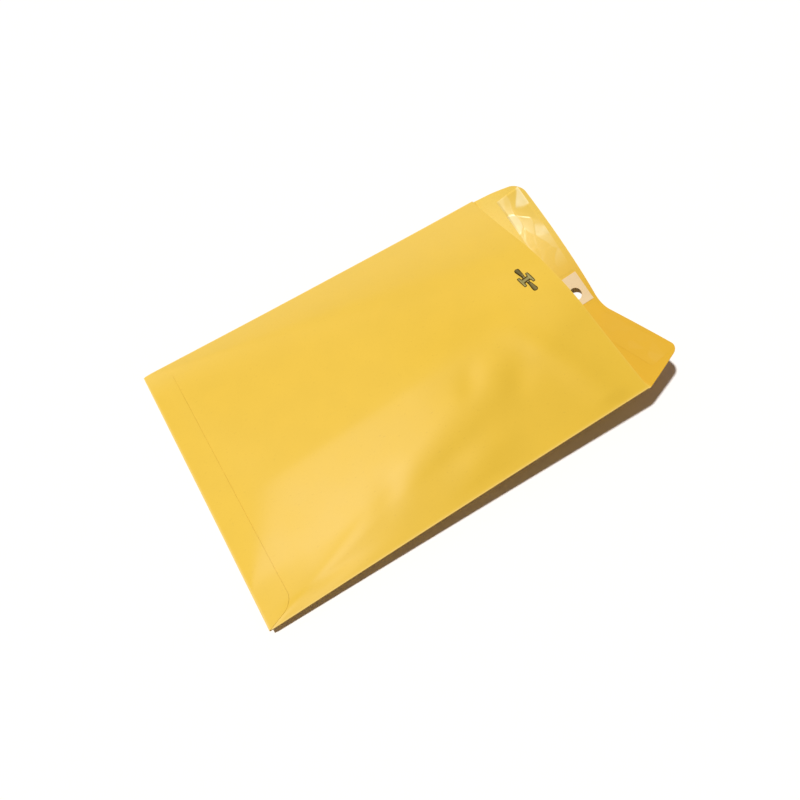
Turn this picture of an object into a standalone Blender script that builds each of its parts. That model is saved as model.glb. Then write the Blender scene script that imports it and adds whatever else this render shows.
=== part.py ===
"""Manila clasp envelope, lying clasp side up with its mouth gaping and its flap unfolded.

Metres, +Z up. The sheet lies along X, with the closed end at -X and the flap at +X, and across it the
near long edge is at -Y and the far one at +Y. The origin is on the floor, under the middle of the part.

Each panel is drawn on the flat sheet, in distances across it and along it, and bent from there, so every
layer of paper follows the one below it.
"""

import math

import bmesh
import bpy
import numpy as np
from mathutils import Matrix, Vector

# The paper
WIDTH = 0.2286
LENGTH = 0.3048
PAPER = 0.0003
LAYER_GAP = 0.0003
THROAT_SETBACK = 0.0013
THROAT_BOW = 0.0050

# The mouth's gape: heights of the score's two ends, and the keel that rests on the floor between them
FAR_EDGE_RISE = 0.0317
NEAR_EDGE_RISE = 0.0266
KEEL_FROM_NEAR_EDGE = 0.0970
KEEL_RADIUS = 0.0735
RIDGE_RADIUS = 0.129
NEAR_CORNER_LIFT = 0.0055
NEAR_CORNER_CURL = 0.110

# The front panel's belly: a tent over the cones, between the bottom seam and the clasp
BELLY_RISE = 0.008
BELLY_FROM_NEAR_EDGE = 0.0873
BELLY_ROUND = 0.005
BELLY_FAR_REACH = 0.125
BELLY_NEAR_REACH = 0.067
BELLY_FOOT = 0.1
BELLY_TO_SEAM = 0.004
BELLY_SWELL = 0.040
BELLY_FADE = 0.110
BELLY_TO_CLASP = 0.014

# The closure flap
FLAP_DEPTH = 0.0382
FLAP_TAPER = 0.0116
FLAP_CORNER_RADIUS = 0.009
FLAP_FAR_RISE = 0.0510
FLAP_NEAR_RISE = 0.0329
FLAP_KEEL_RADIUS = 0.022
HINGE_RAISE = 0.008
HINGE_SETBACK = 0.008

# The hole, its patch and the gum on the flap's inner face
CLASP_TO_SCORE = 0.0260
HOLE_DIAMETER = 0.0105
PATCH_ACROSS = 0.0266
PATCH_ALONG = 0.0209
PATCH_SHIFT = 0.0025
PATCH_TURN = math.radians(-4)
GUM_THICKNESS = 0.0002
GUM_DEPTH = 0.0205
GUM_EDGE_MARGIN = 0.0035
GUM_END_MARGIN = 0.0019
GUM_TO_PATCH = 0.0025

# The glue flaps
BOTTOM_SEAM_DEPTH = 0.0202
BOTTOM_SEAM_TAPER = 0.0075
BOTTOM_SEAM_CORNER_RADIUS = 0.008
SIDE_SEAM_WIDTH = 0.018
SIDE_SEAM_END_MARGIN = 0.006
SIDE_SEAM_TAPER = 0.012

# The clasp, set on a little to one side and a little askew
CLASP_SHIFT = 0.0012
CLASP_TURN = math.radians(3)
METAL = 0.0004
BAR_LENGTH = 0.0095
BAR_WIDTH = 0.0023
BAR_SPACING = 0.0076
STEM_WIDTH = 0.0046
PRONG_SPAN = 0.0243
PRONG_ROOT_WIDTH = 0.0022
PRONG_TIP_WIDTH = 0.0036
PRONG_NECK = 0.0030
PRONG_GAP = 0.0003
TOOTH_WIDTH = 0.0008
TOOTH_REACH = 0.0026
SLIT_CLEARANCE = 0.0003

# Facets: cells along and across each sheet, and steps round an arc
PANEL_CELLS = (28, 38)
FLAP_CELLS = (8, 24)
BOTTOM_SEAM_CELLS = (6, 28)
SIDE_SEAM_CELLS = (14, 2)
PATCH_CELLS = (4, 6)
GUM_CELLS = (3, 12)
FLAP_COLUMN_GATHER = 1.6
HOLE_STEPS = 24
TIP_STEPS = 8
CUTTER_DEPTH = 0.006
SHARP_ANGLE = math.radians(40)

HALF_WIDTH = WIDTH / 2
KEEL = KEEL_FROM_NEAR_EDGE - HALF_WIDTH
BELLY = BELLY_FROM_NEAR_EDGE - HALF_WIDTH
LAYER = PAPER + LAYER_GAP
TOTAL_LENGTH = LENGTH + FLAP_DEPTH
SMALLEST_OPENING = 1e-6
STEEPEST_TILT = math.radians(80)
PROBE = 1e-5

# Finishes: colour, roughness and how metallic
MANILA = ((0.90, 0.60, 0.10), 0.55, 0.0)
PATCH_TAN = ((0.86, 0.66, 0.38), 0.70, 0.0)
GUM_CREAM = ((0.92, 0.68, 0.20), 0.20, 0.0)
CLASP_BRONZE = ((0.36, 0.29, 0.14), 0.35, 1.0)


def find_root(function, low, high, steps=60):
    """Return where a rising function crosses zero, by halving the interval."""
    for _ in range(steps):
        middle = (low + high) / 2
        if function(middle) > 0:
            high = middle
        else:
            low = middle
    return (low + high) / 2


def bend(distance, tilt, radius):
    """Return the run and the rise of paper that curls up over an arc and then runs straight at a tilt."""
    on_arc = np.clip(distance, 0, radius * tilt)
    straight = np.maximum(distance, 0) - on_arc
    turn = on_arc / radius
    run = radius * np.sin(turn) + straight * np.cos(tilt)
    rise = radius * (1 - np.cos(turn)) + straight * np.sin(tilt)
    return run, rise


def tilt_for_rise(rise, distance, radius):
    """Return the tilt that lifts the paper by a rise at a distance along it."""
    return find_root(lambda tilt: bend(distance, tilt, radius)[1] - rise, 0, STEEPEST_TILT)


FAR_TILT = tilt_for_rise(FAR_EDGE_RISE, HALF_WIDTH - KEEL, KEEL_RADIUS)
NEAR_TILT = tilt_for_rise(NEAR_EDGE_RISE, HALF_WIDTH + KEEL, KEEL_RADIUS)
FLAP_FAR_TILT = tilt_for_rise(FLAP_FAR_RISE, HALF_WIDTH - FLAP_TAPER - KEEL, FLAP_KEEL_RADIUS)
FLAP_NEAR_TILT = tilt_for_rise(FLAP_NEAR_RISE, HALF_WIDTH - FLAP_TAPER + KEEL, FLAP_KEEL_RADIUS)


def corner_lift(across, opening):
    """Return how far the curled near corner lifts both panels; the lift dies away toward the mouth."""
    reach = np.clip((-across - HALF_WIDTH + NEAR_CORNER_CURL) / NEAR_CORNER_CURL, 0, 1)
    return NEAR_CORNER_LIFT * (1 - opening) * reach ** 2


def fan(across, opening, fold, far_tilt, near_tilt, radius):
    """Bend a panel up on both sides of a flat triangle that narrows from the closed end to the mouth.

    Each side is a cone with its tip at a corner of the closed end, so the paper isn't stretched.

    Returns:
        The place across and the rise of each point.
    """
    far_start = HALF_WIDTH + (fold - HALF_WIDTH) * opening
    near_start = -HALF_WIDTH + (fold + HALF_WIDTH) * opening
    cone_radius = radius * np.maximum(opening, SMALLEST_OPENING)
    far_run, far_rise = bend(across - far_start, far_tilt, cone_radius)
    near_run, near_rise = bend(near_start - across, near_tilt, cone_radius)
    return np.clip(across, near_start, far_start) + far_run - near_run, far_rise + near_rise


def back_surface(across, along):
    """Return points on the back panel's underside."""
    opening = along / LENGTH
    place, rise = fan(across, opening, KEEL, FAR_TILT, NEAR_TILT, KEEL_RADIUS)
    return np.stack([along + 0 * across, place, rise + corner_lift(across, opening)], axis=-1)


FAR_END = back_surface(np.float64(HALF_WIDTH), np.float64(LENGTH))
NEAR_END = back_surface(np.float64(-HALF_WIDTH), np.float64(LENGTH))


def ridge_sides(height):
    """Return the tilts and the runs of the front panel's two sides for a height of its ridge."""
    tilts = [tilt_for_rise(height - end[2], HALF_WIDTH, RIDGE_RADIUS) for end in (FAR_END, NEAR_END)]
    return tilts, [bend(HALF_WIDTH, tilt, RIDGE_RADIUS)[0] for tilt in tilts]


def ridge_height():
    """Return the ridge's height at the mouth, where the front panel just spans the two long edges."""
    gape = FAR_END[1] - NEAR_END[1]
    lowest = max(FAR_END[2], NEAR_END[2])
    return find_root(lambda height: gape - sum(ridge_sides(height)[1]), lowest, lowest + HALF_WIDTH / 2)


RIDGE_HEIGHT = ridge_height()
(RIDGE_FAR_TILT, RIDGE_NEAR_TILT), (RIDGE_FAR_RUN, RIDGE_NEAR_RUN) = ridge_sides(RIDGE_HEIGHT)
RIDGE_PLACE = NEAR_END[1] + RIDGE_NEAR_RUN


def smooth_step(share):
    """Return 0 up to 0, 1 from 1 on, and a smooth cubic between them."""
    share = np.clip(share, 0, 1)
    return share ** 2 * (3 - 2 * share)


def belly(across, along):
    """Return how far the front panel stands out over its cones: a tent with a round crest and a soft foot."""
    away = across - BELLY
    reach = np.where(away > 0, BELLY_FAR_REACH, BELLY_NEAR_REACH)
    fall = (np.hypot(away, BELLY_ROUND) - BELLY_ROUND) / reach
    tent = (1 - fall + np.hypot(1 - fall, BELLY_FOOT)) / 2
    swell = smooth_step((along - BOTTOM_SEAM_DEPTH - BELLY_TO_SEAM) / BELLY_SWELL)
    fade = smooth_step((LENGTH - CLASP_TO_SCORE - BELLY_TO_CLASP - along) / BELLY_FADE)
    return BELLY_RISE * tent * swell * fade


def front_surface(across, along):
    """Return points on the front panel's underside, which leaves room for the side seam's layer."""
    opening = along / LENGTH
    place, drop = fan(across, opening, 0, RIDGE_FAR_TILT, RIDGE_NEAR_TILT, RIDGE_RADIUS)
    climb = RIDGE_HEIGHT * opening - drop
    run = np.sqrt(along ** 2 - climb ** 2)
    height = climb + belly(across, along) + corner_lift(across, opening) + 2 * LAYER
    return np.stack([run, place + RIDGE_PLACE * opening, height], axis=-1)


def flap_section(across, share):
    """Return the place across and the rise of the flap's section, a share of the way to its outer edge."""
    far_tilt = FAR_TILT + (FLAP_FAR_TILT - FAR_TILT) * share
    near_tilt = NEAR_TILT + (FLAP_NEAR_TILT - NEAR_TILT) * share
    radius = KEEL_RADIUS + (FLAP_KEEL_RADIUS - KEEL_RADIUS) * share
    far_run, far_rise = bend(across - KEEL, far_tilt, radius)
    near_run, near_rise = bend(KEEL - across, near_tilt, radius)
    return KEEL + far_run - near_run, far_rise + near_rise


def flap_surface(across, beyond):
    """Return points on the closure flap's underside, at distances beyond the score."""
    place, rise = flap_section(across, beyond / FLAP_DEPTH)
    climb = rise - flap_section(across, 0)[1]
    return np.stack([LENGTH + np.sqrt(beyond ** 2 - climb ** 2), place, rise], axis=-1)


def normal_of(surface, across, along):
    """Return the unit normals of a surface, upward."""
    step_along = surface(across, along + PROBE) - surface(across, along - PROBE)
    step_across = surface(across + PROBE, along) - surface(across - PROBE, along)
    normal = np.cross(step_along, step_across)
    return normal / np.linalg.norm(normal, axis=-1, keepdims=True)


def raised(surface, height):
    """Return the surface that lies a height above another, for the next layer of paper."""
    return lambda across, along: surface(across, along) + height * normal_of(surface, across, along)


def lapel_inset(distance, depth, taper, radius):
    """Return how far a flap's side is cut in at a distance from its fold: a taper and a round corner."""
    past = np.clip(distance - (depth - radius), 0, radius)
    return taper * distance / depth + radius - np.sqrt(radius ** 2 - past ** 2)


def lapel_distance(share, start, depth, radius):
    """Spread rows over a flap's depth: half of them up to the round corner, the rest round it."""
    straight = start + (depth - radius - start) * np.minimum(2 * share, 1)
    return straight + radius * np.sin(np.maximum(2 * share - 1, 0) * math.pi / 2)


def make_material(name, finish):
    """Return a Principled material with a finish."""
    colour, roughness, metallic = finish
    material = bpy.data.materials.new(name)
    material.use_nodes = True
    shader = material.node_tree.nodes["Principled BSDF"]
    shader.inputs["Base Color"].default_value = (*colour, 1)
    shader.inputs["Roughness"].default_value = roughness
    shader.inputs["Metallic"].default_value = metallic
    return material


def add_object(name, mesh, collection, parent, material=None):
    """Put a mesh into the scene under a parent."""
    part = bpy.data.objects.new(name, mesh)
    collection.objects.link(part)
    part.parent = parent
    if material:
        mesh.materials.append(material)
    return part


def add_empty(name, collection, parent, matrix):
    """Put an empty into the scene, at a place under its parent."""
    empty = bpy.data.objects.new(name, None)
    collection.objects.link(empty)
    empty.parent = parent
    empty.matrix_local = matrix
    return empty


def sheet_mesh(name, cells, place):
    """Return an open sheet: a grid whose points go where place puts them.

    Args:
        cells: how many cells the grid has along and across.
        place: gives the point for a share along, from 0 to 1, and a side across, from -1 to 1.
    """
    grid = bmesh.new()
    bmesh.ops.create_grid(grid, x_segments=cells[0], y_segments=cells[1], size=1)
    flat = np.array([vertex.co for vertex in grid.verts])
    for vertex, point in zip(grid.verts, place((flat[:, 0] + 1) / 2, flat[:, 1])):
        vertex.co = point
    mesh = bpy.data.meshes.new(name)
    grid.to_mesh(mesh)
    grid.free()
    mesh.shade_smooth()
    mesh.set_sharp_from_angle(angle=SHARP_ANGLE)
    return mesh


def thicken(part, thickness, upward=True):
    """Give a sheet its thickness, above the surface that it was drawn on or below it."""
    solidify = part.modifiers.new("Thickness", "SOLIDIFY")
    solidify.thickness = thickness
    solidify.offset = 1 if upward else -1


def cut(part, cutter, operation="DIFFERENCE"):
    """Cut a part with another object, or join that to it."""
    boolean = part.modifiers.new(cutter.name, "BOOLEAN")
    boolean.operation = operation
    boolean.object = cutter


def hide_tool(tool):
    """Mark an object that only shapes another one."""
    tool.hide_render = True
    tool.display_type = "WIRE"
    return tool


def box_mesh(name, size, centre):
    """Return a box."""
    box = bmesh.new()
    bmesh.ops.create_cube(box, size=1, matrix=Matrix.Translation(centre) @ Matrix.Diagonal((*size, 1)))
    mesh = bpy.data.meshes.new(name)
    box.to_mesh(mesh)
    box.free()
    return mesh


def outline_mesh(name, points, thickness):
    """Return a flat plate with the outline that the points give, standing on its own plane."""
    curve = bpy.data.curves.new(name, "CURVE")
    curve.dimensions = "2D"
    curve.fill_mode = "BOTH"
    curve.extrude = thickness / 2
    spline = curve.splines.new("POLY")
    spline.points.add(len(points) - 1)
    for spline_point, (x, y) in zip(spline.points, points):
        spline_point.co = (x, y, 0, 1)
    spline.use_cyclic_u = True
    holder = bpy.data.objects.new(name, curve)
    bpy.context.scene.collection.objects.link(holder)
    depsgraph = bpy.context.evaluated_depsgraph_get()
    mesh = bpy.data.meshes.new_from_object(holder.evaluated_get(depsgraph))
    bpy.data.objects.remove(holder)
    plate = bmesh.new()
    plate.from_mesh(mesh)
    bmesh.ops.remove_doubles(plate, verts=plate.verts, dist=thickness / 100)
    bmesh.ops.translate(plate, verts=plate.verts, vec=(0, 0, thickness / 2))
    plate.to_mesh(mesh)
    plate.free()
    return mesh


def arc(centre, radius, start, turn, steps):
    """Return the points of an arc, its ends included."""
    angles = [start + turn * step / steps for step in range(steps + 1)]
    return [(centre[0] + radius * math.cos(angle), centre[1] + radius * math.sin(angle)) for angle in angles]


def frame_at(surface, across, along):
    """Return the matrix of a place on a surface: its X along the sheet, its Z square to it."""
    place = surface(np.float64(across), np.float64(along))
    upward = Vector(normal_of(surface, np.float64(across), np.float64(along)))
    forward = Vector(surface(np.float64(across), np.float64(along + PROBE)) - place).normalized()
    sideways = upward.cross(forward)
    matrix = Matrix((forward, sideways, upward)).transposed().to_4x4()
    matrix.translation = place
    return matrix


def throat(across):
    """Return how far along the sheet the front panel's mouth edge is: a shallow scoop, deepest midway."""
    return LENGTH - THROAT_SETBACK - THROAT_BOW * (1 - (across / HALF_WIDTH) ** 2)


def back_place(share, side):
    """Return where the back panel's points go, from the closed end to the score."""
    return back_surface(side * HALF_WIDTH, share * LENGTH)


def front_place(share, side):
    """Return where the front panel's points go, from the closed end to the throat."""
    across = side * HALF_WIDTH
    return front_surface(across, share * throat(across))


def bottom_seam_place(share, side):
    """Return where the points of the bottom seam's flap go: folded up over the front panel."""
    along = lapel_distance(share, LAYER_GAP, BOTTOM_SEAM_DEPTH, BOTTOM_SEAM_CORNER_RADIUS)
    inset = lapel_inset(along, BOTTOM_SEAM_DEPTH, BOTTOM_SEAM_TAPER, BOTTOM_SEAM_CORNER_RADIUS)
    return raised(front_surface, LAYER)(side * (HALF_WIDTH - inset), along)


def side_seam_place(share, side):
    """Return where the points of the side seam's flap go: against the front panel's inner face."""
    inward = (side + 1) / 2
    start = SIDE_SEAM_END_MARGIN + SIDE_SEAM_TAPER * inward
    end = LENGTH - THROAT_SETBACK - SIDE_SEAM_END_MARGIN - SIDE_SEAM_TAPER * inward
    across = -HALF_WIDTH + LAYER_GAP + SIDE_SEAM_WIDTH * inward
    return raised(front_surface, -LAYER_GAP)(across, start + (end - start) * share)


def flap_place(share, side):
    """Return where the closure flap's points go, with its columns drawn together at the keel."""
    beyond = lapel_distance(share, LAYER_GAP, FLAP_DEPTH, FLAP_CORNER_RADIUS)
    inset = lapel_inset(beyond, FLAP_DEPTH, FLAP_TAPER, FLAP_CORNER_RADIUS)
    reach = np.where(side > 0, HALF_WIDTH - inset - KEEL, HALF_WIDTH - inset + KEEL)
    return flap_surface(KEEL + np.sign(side) * reach * np.abs(side) ** FLAP_COLUMN_GATHER, beyond)


def patch_place(share, side):
    """Return where the patch's points go: on the flap's inner face, round the hole, a little to one side."""
    sideways = side * PATCH_ACROSS / 2
    outward = PATCH_ALONG * (share - 0.5)
    across = PATCH_SHIFT + sideways * math.cos(PATCH_TURN) - outward * math.sin(PATCH_TURN)
    beyond = CLASP_TO_SCORE + sideways * math.sin(PATCH_TURN) + outward * math.cos(PATCH_TURN)
    return raised(flap_surface, LAYER)(across, beyond)


def gum_place(direction):
    """Return where a gum strip's points go, on one side of the patch."""

    def place(share, side):
        outer = FLAP_DEPTH - GUM_EDGE_MARGIN
        beyond = outer - GUM_DEPTH * (1 - share)
        first = PATCH_ACROSS / 2 + direction * PATCH_SHIFT + GUM_TO_PATCH
        last = HALF_WIDTH - FLAP_TAPER - GUM_END_MARGIN
        outward = (side * direction + 1) / 2
        return raised(flap_surface, LAYER)(direction * (first + (last - first) * outward), beyond)

    return place


def bar_outline():
    """Return a clasp bar's outline: a strip across the sheet with round ends."""
    reach = (BAR_LENGTH - BAR_WIDTH) / 2
    upper = arc((0, reach), BAR_WIDTH / 2, 0, math.pi, TIP_STEPS)
    return upper + arc((0, -reach), BAR_WIDTH / 2, math.pi, math.pi, TIP_STEPS)


def prong_outline():
    """Return a prong's outline, from its root across the sheet: a narrow neck and a round, wider tip."""
    length = PRONG_SPAN / 2 - STEM_WIDTH / 2 - PRONG_GAP - METAL / 2
    root = PRONG_ROOT_WIDTH / 2
    tip = PRONG_TIP_WIDTH / 2
    round_end = arc((0, length - tip), tip, 0, math.pi, TIP_STEPS)
    return [(-root, 0), (root, 0), (root, PRONG_NECK), *round_end, (-root, PRONG_NECK)]


def build_tooth(plate, front_panel, tools, seat, name, along, direction):
    """Make one tooth of the clasp: it goes down through a slit in the paper and is bent in under it."""
    across = direction * (BAR_LENGTH / 2 - TOOTH_WIDTH)
    foot_top = -(LAYER + LAYER_GAP)
    depth = METAL / 2 - foot_top + METAL
    slit_width = TOOTH_WIDTH + 2 * SLIT_CLEARANCE
    foot_across = across - direction * (TOOTH_REACH - TOOTH_WIDTH) / 2
    shapes = {
        "tooth": ((TOOTH_WIDTH, TOOTH_WIDTH, depth), (along, across, METAL / 2 - depth / 2)),
        "foot": ((TOOTH_WIDTH, TOOTH_REACH, METAL), (along, foot_across, foot_top - METAL / 2)),
        "slit": ((slit_width, slit_width, CUTTER_DEPTH), (along, across, 0)),
    }
    for shape, (size, middle) in shapes.items():
        mesh = box_mesh(f"{shape}_{name}", size, middle)
        tool = hide_tool(add_object(mesh.name, mesh, tools, seat))
        if shape == "slit":
            cut(front_panel, tool)
        else:
            cut(plate, tool, "UNION")


def build_clasp(parts, tools, root, front_panel):
    """Make the clasp on the front panel: its base with clinched teeth, and two prongs at the stem."""
    bronze = make_material("clasp_bronze", CLASP_BRONZE)
    seat_surface = raised(front_surface, LAYER)
    place = frame_at(seat_surface, CLASP_SHIFT, LENGTH - CLASP_TO_SCORE)
    seat = add_empty("clasp_seat", parts, root, place @ Matrix.Rotation(CLASP_TURN, 4, "Z"))
    stem = box_mesh("clasp_plate", (BAR_SPACING, STEM_WIDTH, METAL), (0, 0, METAL / 2))
    plate = add_object("clasp_plate", stem, parts, seat, bronze)
    for end, along in (("inner", -BAR_SPACING / 2), ("outer", BAR_SPACING / 2)):
        strip = outline_mesh(f"bar_{end}", bar_outline(), METAL)
        bar = hide_tool(add_object(f"bar_{end}", strip, tools, seat))
        bar.location = (along, 0, 0)
        cut(plate, bar, "UNION")
        build_tooth(plate, front_panel, tools, seat, f"{end}_far", along, 1)
        build_tooth(plate, front_panel, tools, seat, f"{end}_near", along, -1)
    for edge, turn in (("far", 0), ("near", math.pi)):
        direction = math.cos(turn)
        axis_across = direction * (STEM_WIDTH / 2 + PRONG_GAP + METAL / 2)
        axis = Matrix.Translation((0, axis_across, METAL / 2)) @ Matrix.Rotation(turn, 4, "Z")
        hinge = add_empty(f"prong_{edge}_hinge", parts, seat, axis)
        mesh = outline_mesh(f"clasp_prong_{edge}", prong_outline(), METAL)
        prong = add_object(f"clasp_prong_{edge}", mesh, parts, hinge, bronze)
        prong.location = (0, 0, -METAL / 2)


def build_flap(parts, tools, root):
    """Make the closure flap on its hinge, with the hole, the patch and the gum."""
    manila = make_material("flap_manila", MANILA)
    tan = make_material("patch_tan", PATCH_TAN)
    cream = make_material("gum_cream", GUM_CREAM)
    chord = Vector(NEAR_END - FAR_END).normalized()
    forward = Vector((1, 0, 0))
    upward = forward.cross(chord).normalized() * -1
    axis = Matrix((chord.cross(upward), chord, upward)).transposed().to_4x4()
    axis.translation = Vector((FAR_END + NEAR_END) / 2) + Vector((-HINGE_SETBACK, 0, HINGE_RAISE))
    hinge = add_empty("flap_hinge", parts, root, axis)
    sheets = {
        "closure_flap": (FLAP_CELLS, flap_place, PAPER, manila),
        "hole_patch": (PATCH_CELLS, patch_place, PAPER, tan),
        "gum_strip_far": (GUM_CELLS, gum_place(1), GUM_THICKNESS, cream),
        "gum_strip_near": (GUM_CELLS, gum_place(-1), GUM_THICKNESS, cream),
    }
    layers = {}
    for name, (cells, place, thickness, material) in sheets.items():
        layers[name] = add_object(name, sheet_mesh(name, cells, place), parts, hinge, material)
        layers[name].matrix_parent_inverse = axis.inverted()
        thicken(layers[name], thickness)
    drill = bmesh.new()
    radius = HOLE_DIAMETER / 2
    bmesh.ops.create_cone(
        drill, cap_ends=True, segments=HOLE_STEPS, radius1=radius, radius2=radius, depth=CUTTER_DEPTH
    )
    mesh = bpy.data.meshes.new("clasp_hole")
    drill.to_mesh(mesh)
    drill.free()
    hole = hide_tool(add_object("clasp_hole", mesh, tools, root))
    hole.matrix_local = frame_at(flap_surface, 0, CLASP_TO_SCORE)
    cut(layers["closure_flap"], hole)
    cut(layers["hole_patch"], hole)


def build_pocket(parts, root):
    """Make the two panels and the two glue flaps that close them into a pocket."""
    manila = make_material("panel_manila", MANILA)
    sheets = {
        "back_panel": (PANEL_CELLS, back_place, True),
        "front_panel": (PANEL_CELLS, front_place, True),
        "bottom_seam_flap": (BOTTOM_SEAM_CELLS, bottom_seam_place, True),
        "side_seam_flap": (SIDE_SEAM_CELLS, side_seam_place, False),
    }
    panels = {}
    for name, (cells, place, upward) in sheets.items():
        panels[name] = add_object(name, sheet_mesh(name, cells, place), parts, root, manila)
        thicken(panels[name], PAPER, upward)
    return panels


def main():
    """Clear the scene and build the envelope."""
    for old in list(bpy.data.objects):
        bpy.data.objects.remove(old)
    parts = bpy.data.collections.new("manila_clasp_envelope")
    tools = bpy.data.collections.new("cutters")
    bpy.context.scene.collection.children.link(parts)
    bpy.context.scene.collection.children.link(tools)
    root = add_empty("envelope_frame", parts, None, Matrix.Translation((-TOTAL_LENGTH / 2, 0, 0)))
    panels = build_pocket(parts, root)
    build_clasp(parts, tools, root, panels["front_panel"])
    build_flap(parts, tools, root)


if __name__ == "__main__":
    main()
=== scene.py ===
"""Looks of a manila clasp envelope that lies open, clasp side up, on a pale floor.

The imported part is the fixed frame, in metres. Every layer of paper is a surface over the flat sheet: a
place is a distance across the sheet from its middle and a distance along it from the closed end, and
BentSheet says where that place lies once the sheet is folded and the mouth gapes.
"""

import logging
import math
from collections.abc import Callable
from dataclasses import dataclass
from enum import Enum
from functools import cached_property

import bpy
import numpy as np
from mathutils import Matrix, Vector

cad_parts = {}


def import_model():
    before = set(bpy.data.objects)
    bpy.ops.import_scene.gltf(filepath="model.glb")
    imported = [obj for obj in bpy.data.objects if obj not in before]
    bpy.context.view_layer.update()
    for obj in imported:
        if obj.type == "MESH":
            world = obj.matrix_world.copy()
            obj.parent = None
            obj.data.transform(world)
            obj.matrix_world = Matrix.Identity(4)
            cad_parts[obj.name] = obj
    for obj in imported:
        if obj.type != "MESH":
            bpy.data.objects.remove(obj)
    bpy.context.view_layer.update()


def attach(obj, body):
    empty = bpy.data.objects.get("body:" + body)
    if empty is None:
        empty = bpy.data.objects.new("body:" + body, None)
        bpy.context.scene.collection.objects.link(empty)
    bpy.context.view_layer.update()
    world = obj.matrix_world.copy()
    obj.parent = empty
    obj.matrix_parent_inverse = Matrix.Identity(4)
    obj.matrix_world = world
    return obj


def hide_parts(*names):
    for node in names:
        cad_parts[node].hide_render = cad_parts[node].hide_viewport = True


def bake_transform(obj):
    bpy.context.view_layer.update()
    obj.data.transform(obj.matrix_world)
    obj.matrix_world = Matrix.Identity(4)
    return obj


Array = np.ndarray
Surface = Callable[[Array, Array], Array]
Triple = tuple[float, float, float]
Colour = Triple
Ribbon = tuple[Array, Array, Array, Array]

LOG = logging.getLogger("envelope")
# A short step along the paper, and the least values that are divided by.
PROBE = 1e-5
LEAST_OPENING = 1e-6
LEAST_NORMAL = 1e-12
SHARP_ANGLE = math.radians(50)
STEEPEST_TILT = math.radians(80)
# A Mix node has sockets for each type of data; these are the numbers of the ones for colours.
MIX_FACTOR = 0
MIX_FIRST = 6
MIX_SECOND = 7
MIX_RESULT = 2
# Directions, in the part's frame and in the clasp's own: toward the mouth, and toward the far edge.
FORWARD = np.array([1.0, 0.0, 0.0])
FARWARD = np.array([0.0, 1.0, 0.0])


class Body(Enum):
    """The bodies that pieces ride on."""

    POCKET = "pocket"
    FLAP = "flap"
    PRONG_FAR = "prong_far"
    PRONG_NEAR = "prong_near"


class Slot(Enum):
    """The record's material slots."""

    PANEL = "manila_panel"
    FLAP = "manila_flap"
    PATCH = "patch_paper"
    GUM = "gum"
    CLASP = "clasp_metal"


class Flow:
    """A socket on its way through a material's nodes; operators between numbers add Math nodes."""

    def __init__(self, graph: "Graph", socket: bpy.types.NodeSocket) -> None:
        """Keep the socket and the graph that it is in."""
        self.graph = graph
        self.socket = socket

    def __add__(self, other: "Flow | float") -> "Flow":
        """Return self plus other."""
        return self.graph.maths("ADD", self, other)

    def __sub__(self, other: "Flow | float") -> "Flow":
        """Return self minus other."""
        return self.graph.maths("SUBTRACT", self, other)

    def __rsub__(self, other: float) -> "Flow":
        """Return other minus self."""
        return self.graph.maths("SUBTRACT", other, self)

    def __mul__(self, other: "Flow | float") -> "Flow":
        """Return self times other."""
        return self.graph.maths("MULTIPLY", self, other)

    __radd__ = __add__
    __rmul__ = __mul__

    def step(self, low: float, high: float) -> "Flow":
        """Return 0 under low and 1 over high, smooth between them."""
        made = self.graph.node(
            "ShaderNodeMapRange",
            {"interpolation_type": "SMOOTHSTEP"},
            {"Value": self, "From Min": low, "From Max": high},
        )
        return Flow(self.graph, made.outputs["Result"])


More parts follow.
